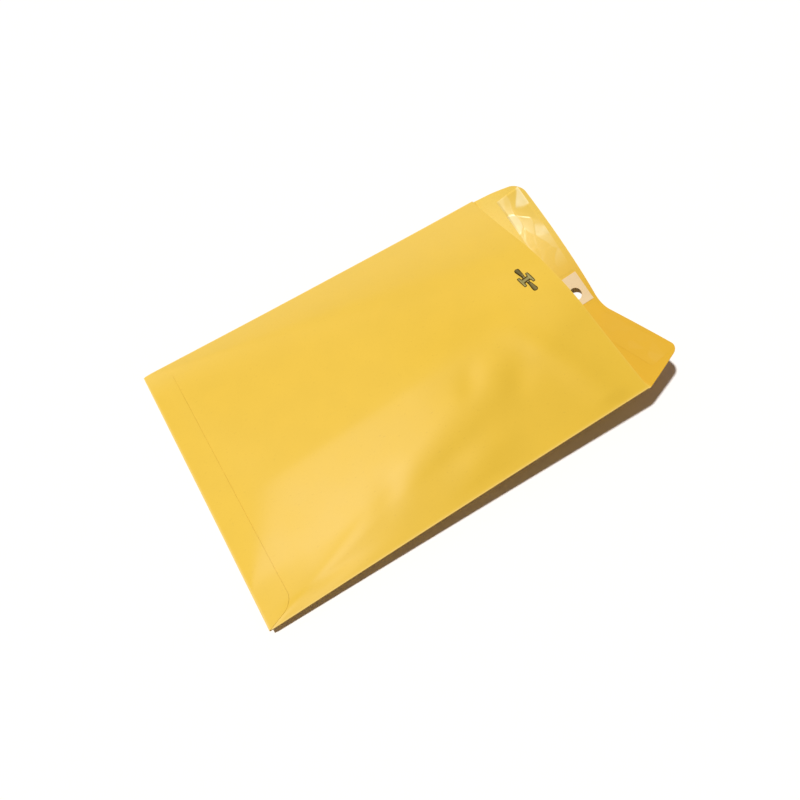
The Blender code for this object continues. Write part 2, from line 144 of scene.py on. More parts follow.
class Graph:
    """A node tree, and the one way that nodes are added to it."""

    def __init__(self, tree: bpy.types.NodeTree) -> None:
        """Keep the tree."""
        self.tree = tree

    def node(
        self,
        kind: str,
        settings: dict[str, object] | None = None,
        inputs: dict[str | int, object] | None = None,
    ) -> bpy.types.Node:
        """Add a node.

        Args:
            kind: the node's type.
            settings: its own properties, which are set first.
            inputs: a value or a Flow for each socket, by name or by number.

        Returns:
            The node.
        """
        made = self.tree.nodes.new(kind)
        for name, value in (settings or {}).items():
            setattr(made, name, value)
        for name, value in (inputs or {}).items():
            self.feed(made.inputs[name], value)
        return made

    def feed(self, socket: bpy.types.NodeSocket, value: object) -> None:
        """Link a Flow to a socket, or set the socket's own value."""
        if isinstance(value, Flow):
            self.tree.links.new(value.socket, socket)
        else:
            socket.default_value = value

    def maths(self, operation: str, first: object, second: object) -> Flow:
        """Return a Math node's result for two numbers."""
        made = self.node("ShaderNodeMath", {"operation": operation}, {0: first, 1: second})
        return Flow(self, made.outputs[0])

    def mix(self, factor: object, first: object, second: object) -> Flow:
        """Return the colour between two colours, at a factor from 0 to 1."""
        inputs = {MIX_FACTOR: factor, MIX_FIRST: first, MIX_SECOND: second}
        made = self.node("ShaderNodeMix", {"data_type": "RGBA"}, inputs)
        return Flow(self, made.outputs[MIX_RESULT])

    def flat(self, along: float = 1.0) -> Flow:
        """Return the places on the flat sheet, in metres, scaled along it for patterns that run one way."""
        places = self.node("ShaderNodeUVMap", {"uv_map": "flat"})
        vector = Flow(self, places.outputs[0])
        made = self.node("ShaderNodeMapping", {}, {"Vector": vector, "Scale": (1.0, along, 1.0)})
        return Flow(self, made.outputs[0])

    def attribute(self, name: str) -> Flow:
        """Return a number that the mesh holds at each point."""
        made = self.node("ShaderNodeAttribute", {"attribute_name": name})
        return Flow(self, made.outputs["Fac"])

    def noise(self, places: Flow, scale: float, detail: float = 2.0, distortion: float = 0.0) -> Flow:
        """Return cloudy noise, from 0 to 1, with scale clouds to the metre."""
        made = self.node(
            "ShaderNodeTexNoise",
            {},
            {"Vector": places, "Scale": scale, "Detail": detail, "Distortion": distortion},
        )
        return Flow(self, made.outputs[0])

    def bump(self, height: Flow, distance: float, below: Flow | None = None) -> Flow:
        """Return the normal of a surface whose relief is height times a distance in metres."""
        inputs: dict[str | int, object] = {"Height": height, "Distance": distance, "Strength": 1.0}
        if below is not None:
            inputs["Normal"] = below
        return Flow(self, self.node("ShaderNodeBump", {}, inputs).outputs[0])


def new_material(
    name: str, constants: dict[str, object]
) -> tuple[bpy.types.Material, Graph, bpy.types.Node]:
    """Start a material.

    Args:
        name: the material's name.
        constants: values that are the same all over, by the shader's socket names.

    Returns:
        The material, its graph and its Principled shader.
    """
    material = bpy.data.materials.new(name)
    material.use_nodes = True
    graph = Graph(material.node_tree)
    shader = material.node_tree.nodes["Principled BSDF"]
    for socket, value in constants.items():
        shader.inputs[socket].default_value = value
    return material, graph, shader


def shade(colour: Colour, strength: float = 1.0) -> tuple[float, float, float, float]:
    """Return a colour with alpha, made lighter or darker."""
    return (colour[0] * strength, colour[1] * strength, colour[2] * strength, 1.0)


@dataclass(frozen=True)
class PaperFinish:
    """Kraft paper: a smooth, faintly cloudy sheet with fine fibres, paler where a fold has worn it and where
    painted sheen and painted light are laid on.
    """

    name: str
    colour: Colour
    speck: Colour
    # worn is the paler colour of worn folds, and also of painted sheen and painted light.
    worn: Colour
    roughness: float = 0.49
    specular: float = 0.36
    cloud_scale: float = 38.0
    cloudiness: float = 0.012
    cloud_roughness: float = 0.08
    fibre_scale: float = 2600.0
    fibre_run: float = 0.16
    speck_scale: float = 900.0
    speck_run: float = 0.4
    speck_strength: float = 0.16
    paling_least: float = 0.3
    paling_fibres: float = 0.5
    paling_roughness: float = 0.1
    grain: float = 0.000012
    cockle_scale: float = 24.0
    cockle: float = 0.00012

    def make(self) -> bpy.types.Material:
        """Return the material: clouds, specks, worn folds, painted sheen and painted light in its colour,
        grain and cockle as bump.
        """
        material, graph, shader = new_material(self.name, {"Specular IOR Level": self.specular})
        sheet = graph.flat()
        clouds = graph.noise(sheet, self.cloud_scale, detail=4.0)
        fibres = graph.noise(graph.flat(self.fibre_run), self.fibre_scale, detail=3.0, distortion=0.6)
        specks = graph.noise(graph.flat(self.speck_run), self.speck_scale).step(low=0.63, high=0.74)
        wear_and_painted_light = graph.attribute("wear_and_painted_light")
        darker = shade(self.colour, 1 - self.cloudiness)
        lighter = shade(self.colour, 1 + self.cloudiness)
        tone = graph.mix(clouds.step(low=0.3, high=0.7), darker, lighter)
        speckled = graph.mix(specks * self.speck_strength, tone, shade(self.speck))
        # Paler where folds are worn and where painted sheen and painted light are laid on.
        paled = wear_and_painted_light * (fibres * self.paling_fibres + self.paling_least)
        graph.feed(shader.inputs["Base Color"], graph.mix(paled, speckled, shade(self.worn)))
        smoothest = self.roughness - self.cloud_roughness / 2
        roughness = clouds * self.cloud_roughness + wear_and_painted_light * self.paling_roughness + smoothest
        graph.feed(shader.inputs["Roughness"], roughness)
        cockled = graph.bump(graph.noise(sheet, self.cockle_scale), self.cockle)
        graph.feed(shader.inputs["Normal"], graph.bump(fibres, self.grain, cockled))
        return material


@dataclass(frozen=True)
class GumFinish:
    """Dried gum: a clear film over the paper, milky and shiny where it is thick, with fine crazing. The
    milky colour is partly painted highlight, and the paper under it takes the flap's painted shade and
    painted light.
    """

    name: str
    colour: Colour
    worn: Colour
    milk_and_highlight: Colour
    specular: float = 0.42
    thin_roughness: float = 0.5
    thick_roughness: float = 0.3
    cloud_scale: float = 160.0
    cloud_roughness: float = 0.08
    milk_least: float = 0.75
    milk_clouds: float = 0.5
    paling_share: float = 0.5
    crazing_scale: float = 420.0
    crazing_run: float = 0.5
    crazing: float = 0.00003

    def make(self) -> bpy.types.Material:
        """Return the material: thick, milky facets with painted highlights in its colour and roughness,
        crazing as bump.
        """
        material, graph, shader = new_material(self.name, {"Specular IOR Level": self.specular})
        clouds = graph.noise(graph.flat(), self.cloud_scale, detail=3.0, distortion=0.6)
        crazing = graph.noise(graph.flat(self.crazing_run), self.crazing_scale, detail=3.0, distortion=1.5)
        milk_and_highlight = graph.attribute("milk_and_highlight") * (clouds * self.milk_clouds + self.milk_least)
        # The paper under the gum is paler toward the flap's far end: painted light.
        paled = graph.attribute("wear_and_painted_light") * self.paling_share
        paper = graph.mix(paled, shade(self.colour), shade(self.worn))
        graph.feed(shader.inputs["Base Color"], graph.mix(milk_and_highlight, paper, shade(self.milk_and_highlight)))
        smoother = graph.attribute("thick") * (self.thick_roughness - self.thin_roughness)
        smoothest = self.thin_roughness - self.cloud_roughness / 2
        graph.feed(shader.inputs["Roughness"], smoother + clouds * self.cloud_roughness + smoothest)
        graph.feed(shader.inputs["Normal"], graph.bump(crazing, self.crazing))
        return material


@dataclass(frozen=True)
class MetalFinish:
    """Stamped metal, dull and a little tarnished, with fine drawing lines, and painted shade that darkens it
    toward its edges.
    """

    name: str
    colour: Colour
    # edge is the colour of the painted shade.
    edge: Colour
    roughness: float = 0.45
    edge_shade_strength: float = 0.95
    tarnish_scale: float = 700.0
    tarnish_shade: float = 0.65
    tarnish_strength: float = 0.4
    tarnish_roughness: float = 0.16
    line_scale: float = 6000.0
    line_run: float = 0.08
    line_depth: float = 0.000006

    def make(self) -> bpy.types.Material:
        """Return the material: painted shade at the edges and tarnish in its colour, drawing lines as bump.
        """
        material, graph, shader = new_material(self.name, {"Metallic": 1.0})
        tarnish = graph.noise(graph.flat(), self.tarnish_scale, detail=4.0)
        lines = graph.noise(graph.flat(self.line_run), self.line_scale)
        # Painted shade: darker toward the edges, the bars' ends and the prongs' tips, and a little over the
        # whole prongs.
        edge_shade = graph.attribute("edge").step(low=0.20, high=0.85) * self.edge_shade_strength
        spots = tarnish.step(low=0.35, high=0.75) * self.tarnish_strength
        worn = graph.mix(spots, shade(self.colour), shade(self.colour, self.tarnish_shade))
        graph.feed(shader.inputs["Base Color"], graph.mix(edge_shade, worn, shade(self.edge)))
        smoothest = self.roughness - self.tarnish_roughness / 2
        graph.feed(shader.inputs["Roughness"], tarnish * self.tarnish_roughness + smoothest)
        graph.feed(shader.inputs["Normal"], graph.bump(lines, self.line_depth))
        return material


MANILA = PaperFinish(
    "manila_paper",
    colour=(0.746, 0.494, 0.042),
    speck=(0.44, 0.23, 0.02),
    # worn colours the worn folds and the painted sheen along the far edge.
    worn=(0.90, 0.69, 0.25),
)
# The flap is the same manila with painted shade: its colour is darker and more orange, and its worn colour
# is the painted light laid on toward the far end.
FLAP_MANILA_SHADED = PaperFinish(
    "flap_manila_painted_shade",
    colour=(0.702, 0.412, 0.024),
    speck=(0.44, 0.23, 0.02),
    worn=(0.953, 0.754, 0.153),
)
PATCH_TAN = PaperFinish(
    "patch_tan_paper",
    colour=(0.80, 0.625, 0.37),
    speck=(0.53, 0.36, 0.18),
    worn=(0.86, 0.71, 0.46),
    roughness=0.7,
    cockle=0.0001,
)
GUM = GumFinish(
    "dried_gum",
    colour=FLAP_MANILA_SHADED.colour,
    worn=FLAP_MANILA_SHADED.worn,
    # milky colours thick gum and its painted highlights.
    milk_and_highlight=(1.0, 0.92, 0.56),
)
CLASP_BRONZE = MetalFinish(
    "clasp_bronze",
    colour=(0.245, 0.207, 0.076),
    # edge is the painted shade at the clasp's edges, bar ends and prong tips.
    edge=(0.030, 0.011, 0.001),
)


def find_root(function: Callable[[float], float], low: float, high: float, steps: int = 60) -> float:
    """Return where a rising function crosses zero, by halving the interval."""
    for _ in range(steps):
        middle = (low + high) / 2
        if function(middle) > 0:
            high = middle
        else:
            low = middle
    return (low + high) / 2


def bend(distance: Array, tilt: Array, radius: Array) -> tuple[Array, Array]:
    """Curl paper up over an arc and then run straight at a tilt.

    Args:
        distance: distances along the paper from where the arc starts.
        tilt: the angle that the arc reaches.
        radius: the arc's radius.

    Returns:
        The run and the rise at each distance.
    """
    on_arc = np.clip(distance, 0, radius * tilt)
    straight = np.maximum(distance, 0) - on_arc
    turn = on_arc / radius
    run = radius * np.sin(turn) + straight * np.cos(tilt)
    rise = radius * (1 - np.cos(turn)) + straight * np.sin(tilt)
    return run, rise


def tilt_for_rise(rise: float, distance: float, radius: float) -> float:
    """Return the tilt that lifts the paper by a rise at a distance along it."""
    return find_root(lambda tilt: float(bend(distance, tilt, radius)[1]) - rise, 0.0, STEEPEST_TILT)


def smooth_step(share: Array) -> Array:
    """Return 0 up to 0, 1 from 1 on, and a smooth cubic between them."""
    share = np.clip(share, 0, 1)
    return share**2 * (3 - 2 * share)


def normals_of(surface: Surface, across: Array, along: Array) -> Array:
    """Return a surface's unit normals, upward, from small steps along the sheet and across it."""
    step_along = surface(across, along + PROBE) - surface(across, along - PROBE)
    step_across = surface(across + PROBE, along) - surface(across - PROBE, along)
    normal = np.cross(step_along, step_across)
    return normal / np.linalg.norm(normal, axis=-1, keepdims=True)


def lattice(rows: Array, columns: Array) -> tuple[Array, Array]:
    """Return two grids: each point's row value and its column value."""
    row_values, column_values = np.meshgrid(rows, columns, indexing="ij")
    return row_values, column_values


def raised(surface: Surface, height: float) -> Surface:
    """Return the surface that lies a height above another one."""
    return lambda across, along: surface(across, along) + height * normals_of(surface, across, along)


@dataclass(frozen=True)
class BentSheet:
    """The folded, gaping sheet: where each place of the flat sheet lies.

    The closed end is flat on the floor. Toward the mouth the back panel bends up on both sides of a keel,
    and the front panel bends down on both sides of a ridge, each as two cones with their tips at the corners
    of the closed end, so these bends don't stretch the paper. Three small forms come on top: a belly in the
    front panel, a curled near corner, and long edges that the gape draws in.
    """

    # The flat sheet, and the paper's thickness: as in the solids, as drawn, and from layer to layer.
    width: float = 0.2286
    length: float = 0.3048
    paper: float = 0.0003
    drawn_paper: float = 0.00024
    layer: float = 0.0006
    throat_setback: float = 0.0013
    throat_bow: float = 0.0050
    # The gape: how high the score's ends rise, and how the panels bend.
    far_rise: float = 0.0317
    near_rise: float = 0.0266
    keel: float = -0.0173
    keel_radius: float = 0.0735
    ridge_radius: float = 0.129
    # The long edges' draw at their ends, what is added midway, and how far into the flap it reaches.
    far_draw_ends: float = 0.0010
    far_draw_middle: float = 0.0012
    near_draw_ends: float = 0.0002
    near_draw_middle: float = 0.0004
    draw_flap: float = 0.018
    # The curled near corner, and the belly.
    corner_lift: float = 0.0055
    corner_curl: float = 0.110
    belly_rise: float = 0.0062
    belly_crest: float = -0.0245
    belly_round: float = 0.005
    belly_far_reach: float = 0.150
    belly_near_reach: float = 0.054
    belly_foot: float = 0.1
    belly_ramp: float = 0.15
    belly_hip: float = 5.0
    belly_end: float = 0.2648
    belly_fade: float = 0.110
    # The closure flap's outline and its bend.
    flap_depth: float = 0.0382
    flap_taper: float = 0.0116
    flap_far_corner: float = 0.009
    flap_near_corner: float = 0.0065
    flap_far_rise: float = 0.0510
    flap_near_rise: float = 0.0329
    flap_keel_radius: float = 0.026

    @cached_property
    def half(self) -> float:
        """Half of the sheet's width."""
        return self.width / 2

    @cached_property
    def origin(self) -> float:
        """How far along the sheet the part's origin is."""
        return (self.length + self.flap_depth) / 2

    @cached_property
    def back_tilts(self) -> tuple[float, float]:
        """The back panel's tilts at the score, far and near."""
        far = tilt_for_rise(self.far_rise, self.half - self.keel, self.keel_radius)
        near = tilt_for_rise(self.near_rise, self.half + self.keel, self.keel_radius)
        return far, near

    @cached_property
    def flap_tilts(self) -> tuple[float, float]:
        """The flap's tilts at its outer edge, far and near."""
        reach = self.half - self.flap_taper
        far = tilt_for_rise(self.flap_far_rise, reach - self.keel, self.flap_keel_radius)
        near = tilt_for_rise(self.flap_near_rise, reach + self.keel, self.flap_keel_radius)
        return far, near

    @cached_property
    def mouth_ends(self) -> tuple[Array, Array]:
        """The score's two ends, far and near, before they are drawn in."""
        across = np.array([self.half, -self.half])
        ends = self.back(across, np.array([self.length, self.length]))
        ends[:, 1] += self.drawn_in(across, 1.0)
        return ends[0], ends[1]

    @cached_property
    def ridge(self) -> tuple[float, float, float, float]:
        """The front panel's ridge at the mouth: its height, its place across, and its tilts, far and near.

        The height is the one at which the panel's width just spans the gape between the two long edges.
        """
        far_end, near_end = self.mouth_ends

        def sides(height: float) -> list[tuple[float, float]]:
            """Return each side's tilt and run, far and near, for a height of the ridge."""
            drops = [height - end[2] for end in (far_end, near_end)]
            tilts = [tilt_for_rise(drop, self.half, self.ridge_radius) for drop in drops]
            return [(tilt, float(bend(self.half, tilt, self.ridge_radius)[0])) for tilt in tilts]

        def spare(height: float) -> float:
            """Return how much of the gape the panel leaves open at a height of the ridge."""
            return gape - sum(run for _, run in sides(height))

        gape = far_end[1] - near_end[1]
        lowest = max(far_end[2], near_end[2])
        height = find_root(spare, lowest, lowest + self.half / 2)
        (far_tilt, _), (near_tilt, near_run) = sides(height)
        return height, near_end[1] + near_run, far_tilt, near_tilt

    def lift(self, across: Array, opening: Array) -> Array:
        """Return how far the curled near corner lifts both panels; the lift dies away toward the mouth."""
        reach = np.clip((-across - self.half + self.corner_curl) / self.corner_curl, 0, 1)
        return self.corner_lift * (1 - opening) * reach**2

    def drawn_in(self, across: Array, opening: Array) -> Array:
        """Return how far the gape draws the paper in from each long edge.

        The draw is most midway along an edge, by half a wave, and grows with the square of the distance
        across.

        Args:
            across: distances across the sheet.
            opening: the share of the way from the closed end to the score.

        Returns:
            The draw, above 0 on the far side and below 0 on the near one.
        """
        swell = np.sin(math.pi * opening)
        far = self.far_draw_ends + self.far_draw_middle * swell
        near = self.near_draw_ends + self.near_draw_middle * swell
        return np.where(across > 0, far, -near) * (across / self.half) ** 2

    def fan(
        self, across: Array, opening: Array, fold: float, tilts: tuple[float, float], radius: float
    ) -> tuple[Array, Array]:
        """Bend a panel on both sides of a flat triangle that narrows from the closed end to the mouth.

        Args:
            across: distances across the sheet.
            opening: the share of the way from the closed end to the score.
            fold: where across the sheet the triangle's point is, at the score.
            tilts: the tilts that the sides reach, far and near.
            radius: the bends' radius at the score.

        Returns:
            The place across and the rise of each point.
        """
        far_start = self.half + (fold - self.half) * opening
        near_start = -self.half + (fold + self.half) * opening
        cone_radius = radius * np.maximum(opening, LEAST_OPENING)
        far_run, far_rise = bend(across - far_start, tilts[0], cone_radius)
        near_run, near_rise = bend(near_start - across, tilts[1], cone_radius)
        return np.clip(across, near_start, far_start) + far_run - near_run, far_rise + near_rise

    def back(self, across: Array, along: Array) -> Array:
        """Return points on the back panel's underside."""
        opening = along / self.length
        place, rise = self.fan(across, opening, self.keel, self.back_tilts, self.keel_radius)
        place = place - self.drawn_in(across, opening)
        level = rise + self.lift(across, opening)
        return np.stack(np.broadcast_arrays(along - self.origin, place, level), axis=-1)

    def belly(self, across: Array, along: Array) -> Array:
        """Return how far the front panel stands out over its cones: a tent with a round crest.

        The tent falls straight on both sides of its crest and is hipped at the closed end, where a ramp
        meets it: the lower of the two, softly, is 1 / (1/tent^hip + 1/ramp^hip)^(1/hip). It fades out before
        the clasp.
        """
        away = across - self.belly_crest
        reach = np.where(away > 0, self.belly_far_reach, self.belly_near_reach)
        fall = (np.hypot(away, self.belly_round) - self.belly_round) / reach
        tent = self.belly_rise * (1 - fall + np.hypot(1 - fall, self.belly_foot)) / 2
        ramp = np.maximum(self.belly_ramp * along, PROBE)
        hipped = (tent**-self.belly_hip + ramp**-self.belly_hip) ** (-1 / self.belly_hip)
        return hipped * smooth_step((self.belly_end - along) / self.belly_fade)

    def front(self, across: Array, along: Array) -> Array:
        """Return points on the front panel's underside."""
        height, place_at_mouth, far_tilt, near_tilt = self.ridge
        opening = along / self.length
        place, drop = self.fan(across, opening, 0.0, (far_tilt, near_tilt), self.ridge_radius)
        place = place + place_at_mouth * opening - self.drawn_in(across, opening)
        climb = height * opening - drop
        run = np.sqrt(np.maximum(along**2 - climb**2, 0))
        level = climb + self.belly(across, along) + self.lift(across, opening) + 2 * self.layer
        return np.stack([run - self.origin, place, level], axis=-1)

    def flap_section(self, across: Array, share: Array) -> tuple[Array, Array]:
        """Return the place across and the rise of the flap's section.

        Args:
            across: distances across the sheet.
            share: the share of the way from the score to the outer edge.

        Returns:
            The place across and the rise of each point.
        """
        far_tilt = self.back_tilts[0] + (self.flap_tilts[0] - self.back_tilts[0]) * share
        near_tilt = self.back_tilts[1] + (self.flap_tilts[1] - self.back_tilts[1]) * share
        radius = self.keel_radius + (self.flap_keel_radius - self.keel_radius) * share
        far_run, far_rise = bend(across - self.keel, far_tilt, radius)
        near_run, near_rise = bend(self.keel - across, near_tilt, radius)
        return self.keel + far_run - near_run, far_rise + near_rise

    def flap(self, across: Array, beyond: Array) -> Array:
        """Return points on the closure flap's underside, at distances beyond the score."""
        place, rise = self.flap_section(across, beyond / self.flap_depth)
        place = place - self.drawn_in(across, 1.0) * smooth_step(1 - beyond / self.draw_flap)
        climb = rise - self.flap_section(across, 0.0 * beyond)[1]
        run = np.sqrt(np.maximum(beyond**2 - climb**2, 0))
        return np.stack([self.length - self.origin + run, place, rise], axis=-1)

    def throat(self, across: Array) -> Array:
        """Return how far along the front panel's mouth edge is: a shallow scoop, deepest midway."""
        return self.length - self.throat_setback - self.throat_bow * (1 - (across / self.half) ** 2)


@dataclass(frozen=True)
class Wear:
    """How a fold is worn pale: how far from it, and how much less at the score, which is only creased."""

    reach: float = 0.0009
    score: float = 0.25

    def near(self, distance: Array) -> Array:
        """Return how worn the paper is at a distance from a fold: exp(-(distance/reach)^2)."""
        return np.exp(-((distance / self.reach) ** 2))


@dataclass(frozen=True)
class Lapel:
    """A glue flap's or closure flap's outline: depth from its fold, tapered sides and round corners."""

    depth: float
    taper: float
    corner: float

    def inset(self, distance: Array) -> Array:
        """Return how far the side is cut in at a distance from the fold: a taper and a quarter circle."""
        past = np.clip(distance - (self.depth - self.corner), 0, self.corner)
        return self.taper * distance / self.depth + self.corner - np.sqrt(self.corner**2 - past**2)

    def distance(self, share: Array, start: float) -> Array:
        """Spread rows over the depth: half of them up to the round corner, the rest round it."""
        straight = start + (self.depth - self.corner - start) * np.minimum(2 * share, 1)
        return straight + self.corner * np.sin(np.maximum(2 * share - 1, 0) * math.pi / 2)


@dataclass(frozen=True)
class Dent:
    """A soft dent or swelling of the paper: a bell over an ellipse on the flat sheet."""

    along: float
    across: float
    length: float
    breadth: float
    turn_deg: float
    height: float

    def relief(self, across: Array, along: Array) -> Array:
        """Return the height at each place: height times exp(-(u/length)^2 - (v/breadth)^2)."""
        cosine = math.cos(math.radians(self.turn_deg))
        sine = math.sin(math.radians(self.turn_deg))
        forward = (along - self.along) * cosine + (across - self.across) * sine
        sideways = (across - self.across) * cosine - (along - self.along) * sine
        return self.height * np.exp(-((forward / self.length) ** 2) - (sideways / self.breadth) ** 2)


def grid_normals(grid: Array) -> Array:
    """Return the unit normals of a grid of points: the cross product of its steps along and across."""
    normal = np.cross(np.gradient(grid, axis=0), np.gradient(grid, axis=1))
    return normal / np.maximum(np.linalg.norm(normal, axis=-1, keepdims=True), LEAST_NORMAL)


def shell_arrays(middle: Array, thickness: float) -> tuple[Array, Array]:
    """Give a grid of points a thickness, as a closed skin.

    Args:
        middle: the points of the middle surface, rows by columns.
        thickness: the distance between the skin's two sides.

    Returns:
        The points, upper side first, and the quads: upper side, lower side, and a rim round the edge.
    """
    rows, columns = middle.shape[:2]
    count = rows * columns
    offset = grid_normals(middle) * thickness / 2
    points = np.concatenate([(middle + offset).reshape(-1, 3), (middle - offset).reshape(-1, 3)])
    index = np.arange(count).reshape(rows, columns)
    cells = [index[:-1, :-1], index[1:, :-1], index[1:, 1:], index[:-1, 1:]]
    upper = np.stack(cells, axis=-1).reshape(-1, 4)
    edge = np.concatenate([index[:-1, 0], index[-1, :-1], index[:0:-1, -1], index[0, :0:-1]])
    after = np.roll(edge, -1)
    rim = np.stack([edge + count, after + count, after, edge], axis=-1)
    return points, np.concatenate([upper, upper[:, ::-1] + count, rim])


def mesh_object(
    name: str, points: Array, quads: Array, flat: Array, numbers: dict[str, Array]
) -> bpy.types.Object:
    """Put a mesh into the scene.

    Args:
        name: the piece's name.
        points: its points.
        quads: its faces, as numbers of points.
        flat: where each point is on the flat sheet, for the map that patterns follow.
        numbers: further numbers at each point, by the names that materials read.

    Returns:
        The object, smooth but for its sharp edges.
    """
    mesh = bpy.data.meshes.new(name)
    mesh.from_pydata(points.tolist(), [], quads.tolist())
    loop_points = np.empty(len(mesh.loops), np.int32)
    mesh.loops.foreach_get("vertex_index", loop_points)
    places = flat[loop_points].astype(np.float32)
    mesh.uv_layers.new(name="flat").data.foreach_set("uv", places.ravel())
    for key, values in numbers.items():
        mesh.attributes.new(key, "FLOAT", "POINT").data.foreach_set("value", values.astype(np.float32))
    mesh.shade_smooth()
    mesh.set_sharp_from_angle(angle=SHARP_ANGLE)
    piece = bpy.data.objects.new(name, mesh)
    bpy.context.scene.collection.objects.link(piece)
    return piece


def sheet_object(
    name: str, middle: Array, thickness: float, flat: Array, numbers: dict[str, Array]
) -> bpy.types.Object:
    """Make a thin piece.

    Args:
        name: the piece's name.
        middle: the grid of its middle surface.
        thickness: how thick it is.
        flat: where each point of the grid is on the flat sheet.
        numbers: further numbers at each point of the grid, such as how worn it is.

    Returns:
        The object.
    """
    points, quads = shell_arrays(middle, thickness)
    places = np.tile(flat.reshape(-1, 2), (2, 1))
    both_sides = {key: np.tile(grid.ravel(), 2) for key, grid in numbers.items()}
    return mesh_object(name, points, quads, places, both_sides)


def dress(piece: bpy.types.Object, finish: bpy.types.Material, node: str) -> None:
    """Give a piece its finish, let it stand for a CAD node, and report it."""
    piece.data.materials.clear()
    piece.data.materials.append(finish)
    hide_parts(node)
    LOG.info("%s stands for %s, in %s", piece.name, node, finish.name)


def settle(piece: bpy.types.Object, body: Body, finish: bpy.types.Material, node: str) -> None:
    """Let a piece ride on a body, and dress it."""
    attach(piece, body.value)
    dress(piece, finish, node)


def half_turn(
    upper: Array, lower: Array, outward: Array, bulge: float, steps: int, to_lower: bool
) -> Array:
    """Fold paper round from one edge to another, as half of an ellipse.

    Args:
        upper: the upper edge's points.
        lower: the lower edge's points.
        outward: the direction of the fold.
        bulge: how far the fold stands out.
        steps: how many points there are between the edges.
        to_lower: whether the points run from the upper edge to the lower one.

    Returns:
        The points, edge points by steps.
    """
    turn = np.linspace(0, math.pi, steps + 2)[1:-1]
    turn = turn if to_lower else turn[::-1]
    middle = (upper + lower) / 2
    reach = (upper - lower) / 2
    across = reach[:, None] * np.cos(turn)[None, :, None]
    return middle[:, None] + across + outward * bulge * np.sin(turn)[None, :, None]


def cut_hole(
    piece: bpy.types.Object,
    centre: Vector,
    axis: Vector,
    radius: float,
    reach: float = 0.004,
    steps: int = 48,
) -> None:
    """Cut a round hole through a thin piece, with a drill that is a circle carried along the hole's axis.

    Args:
        piece: the piece, whose mesh is replaced.
        centre: the hole's centre, in the paper.
        axis: the hole's direction.
        radius: the hole's radius.
        reach: how far the drill goes on each side of the centre.
        steps: how many sides the drill has.
    """
    turn = np.linspace(0, 2 * math.pi, steps, endpoint=False)
    side = axis.orthogonal().normalized()
    other = axis.cross(side)
    circle = radius * (np.cos(turn)[:, None] * np.array(side) + np.sin(turn)[:, None] * np.array(other))
    depth = np.array(axis) * reach
    points = np.concatenate([circle - depth, circle + depth]) + np.array(centre)
    after = np.roll(np.arange(steps), -1)
    walls = np.stack([np.arange(steps), after, after + steps, np.arange(steps) + steps], axis=-1).tolist()
    caps = [list(range(steps))[::-1], list(range(steps, 2 * steps))]
    drill_mesh = bpy.data.meshes.new("drill")
    drill_mesh.from_pydata(points.tolist(), [], walls + caps)
    drill = bpy.data.objects.new("drill", drill_mesh)
    bpy.context.scene.collection.objects.link(drill)
    boolean = piece.modifiers.new("hole", "BOOLEAN")
    boolean.operation = "DIFFERENCE"
    boolean.object = drill
    bpy.context.view_layer.update()
    cut = bpy.data.meshes.new_from_object(piece.evaluated_get(bpy.context.evaluated_depsgraph_get()))
    piece.modifiers.clear()
    piece.data = cut
    cut.set_sharp_from_angle(angle=SHARP_ANGLE)
    bpy.data.objects.remove(drill)


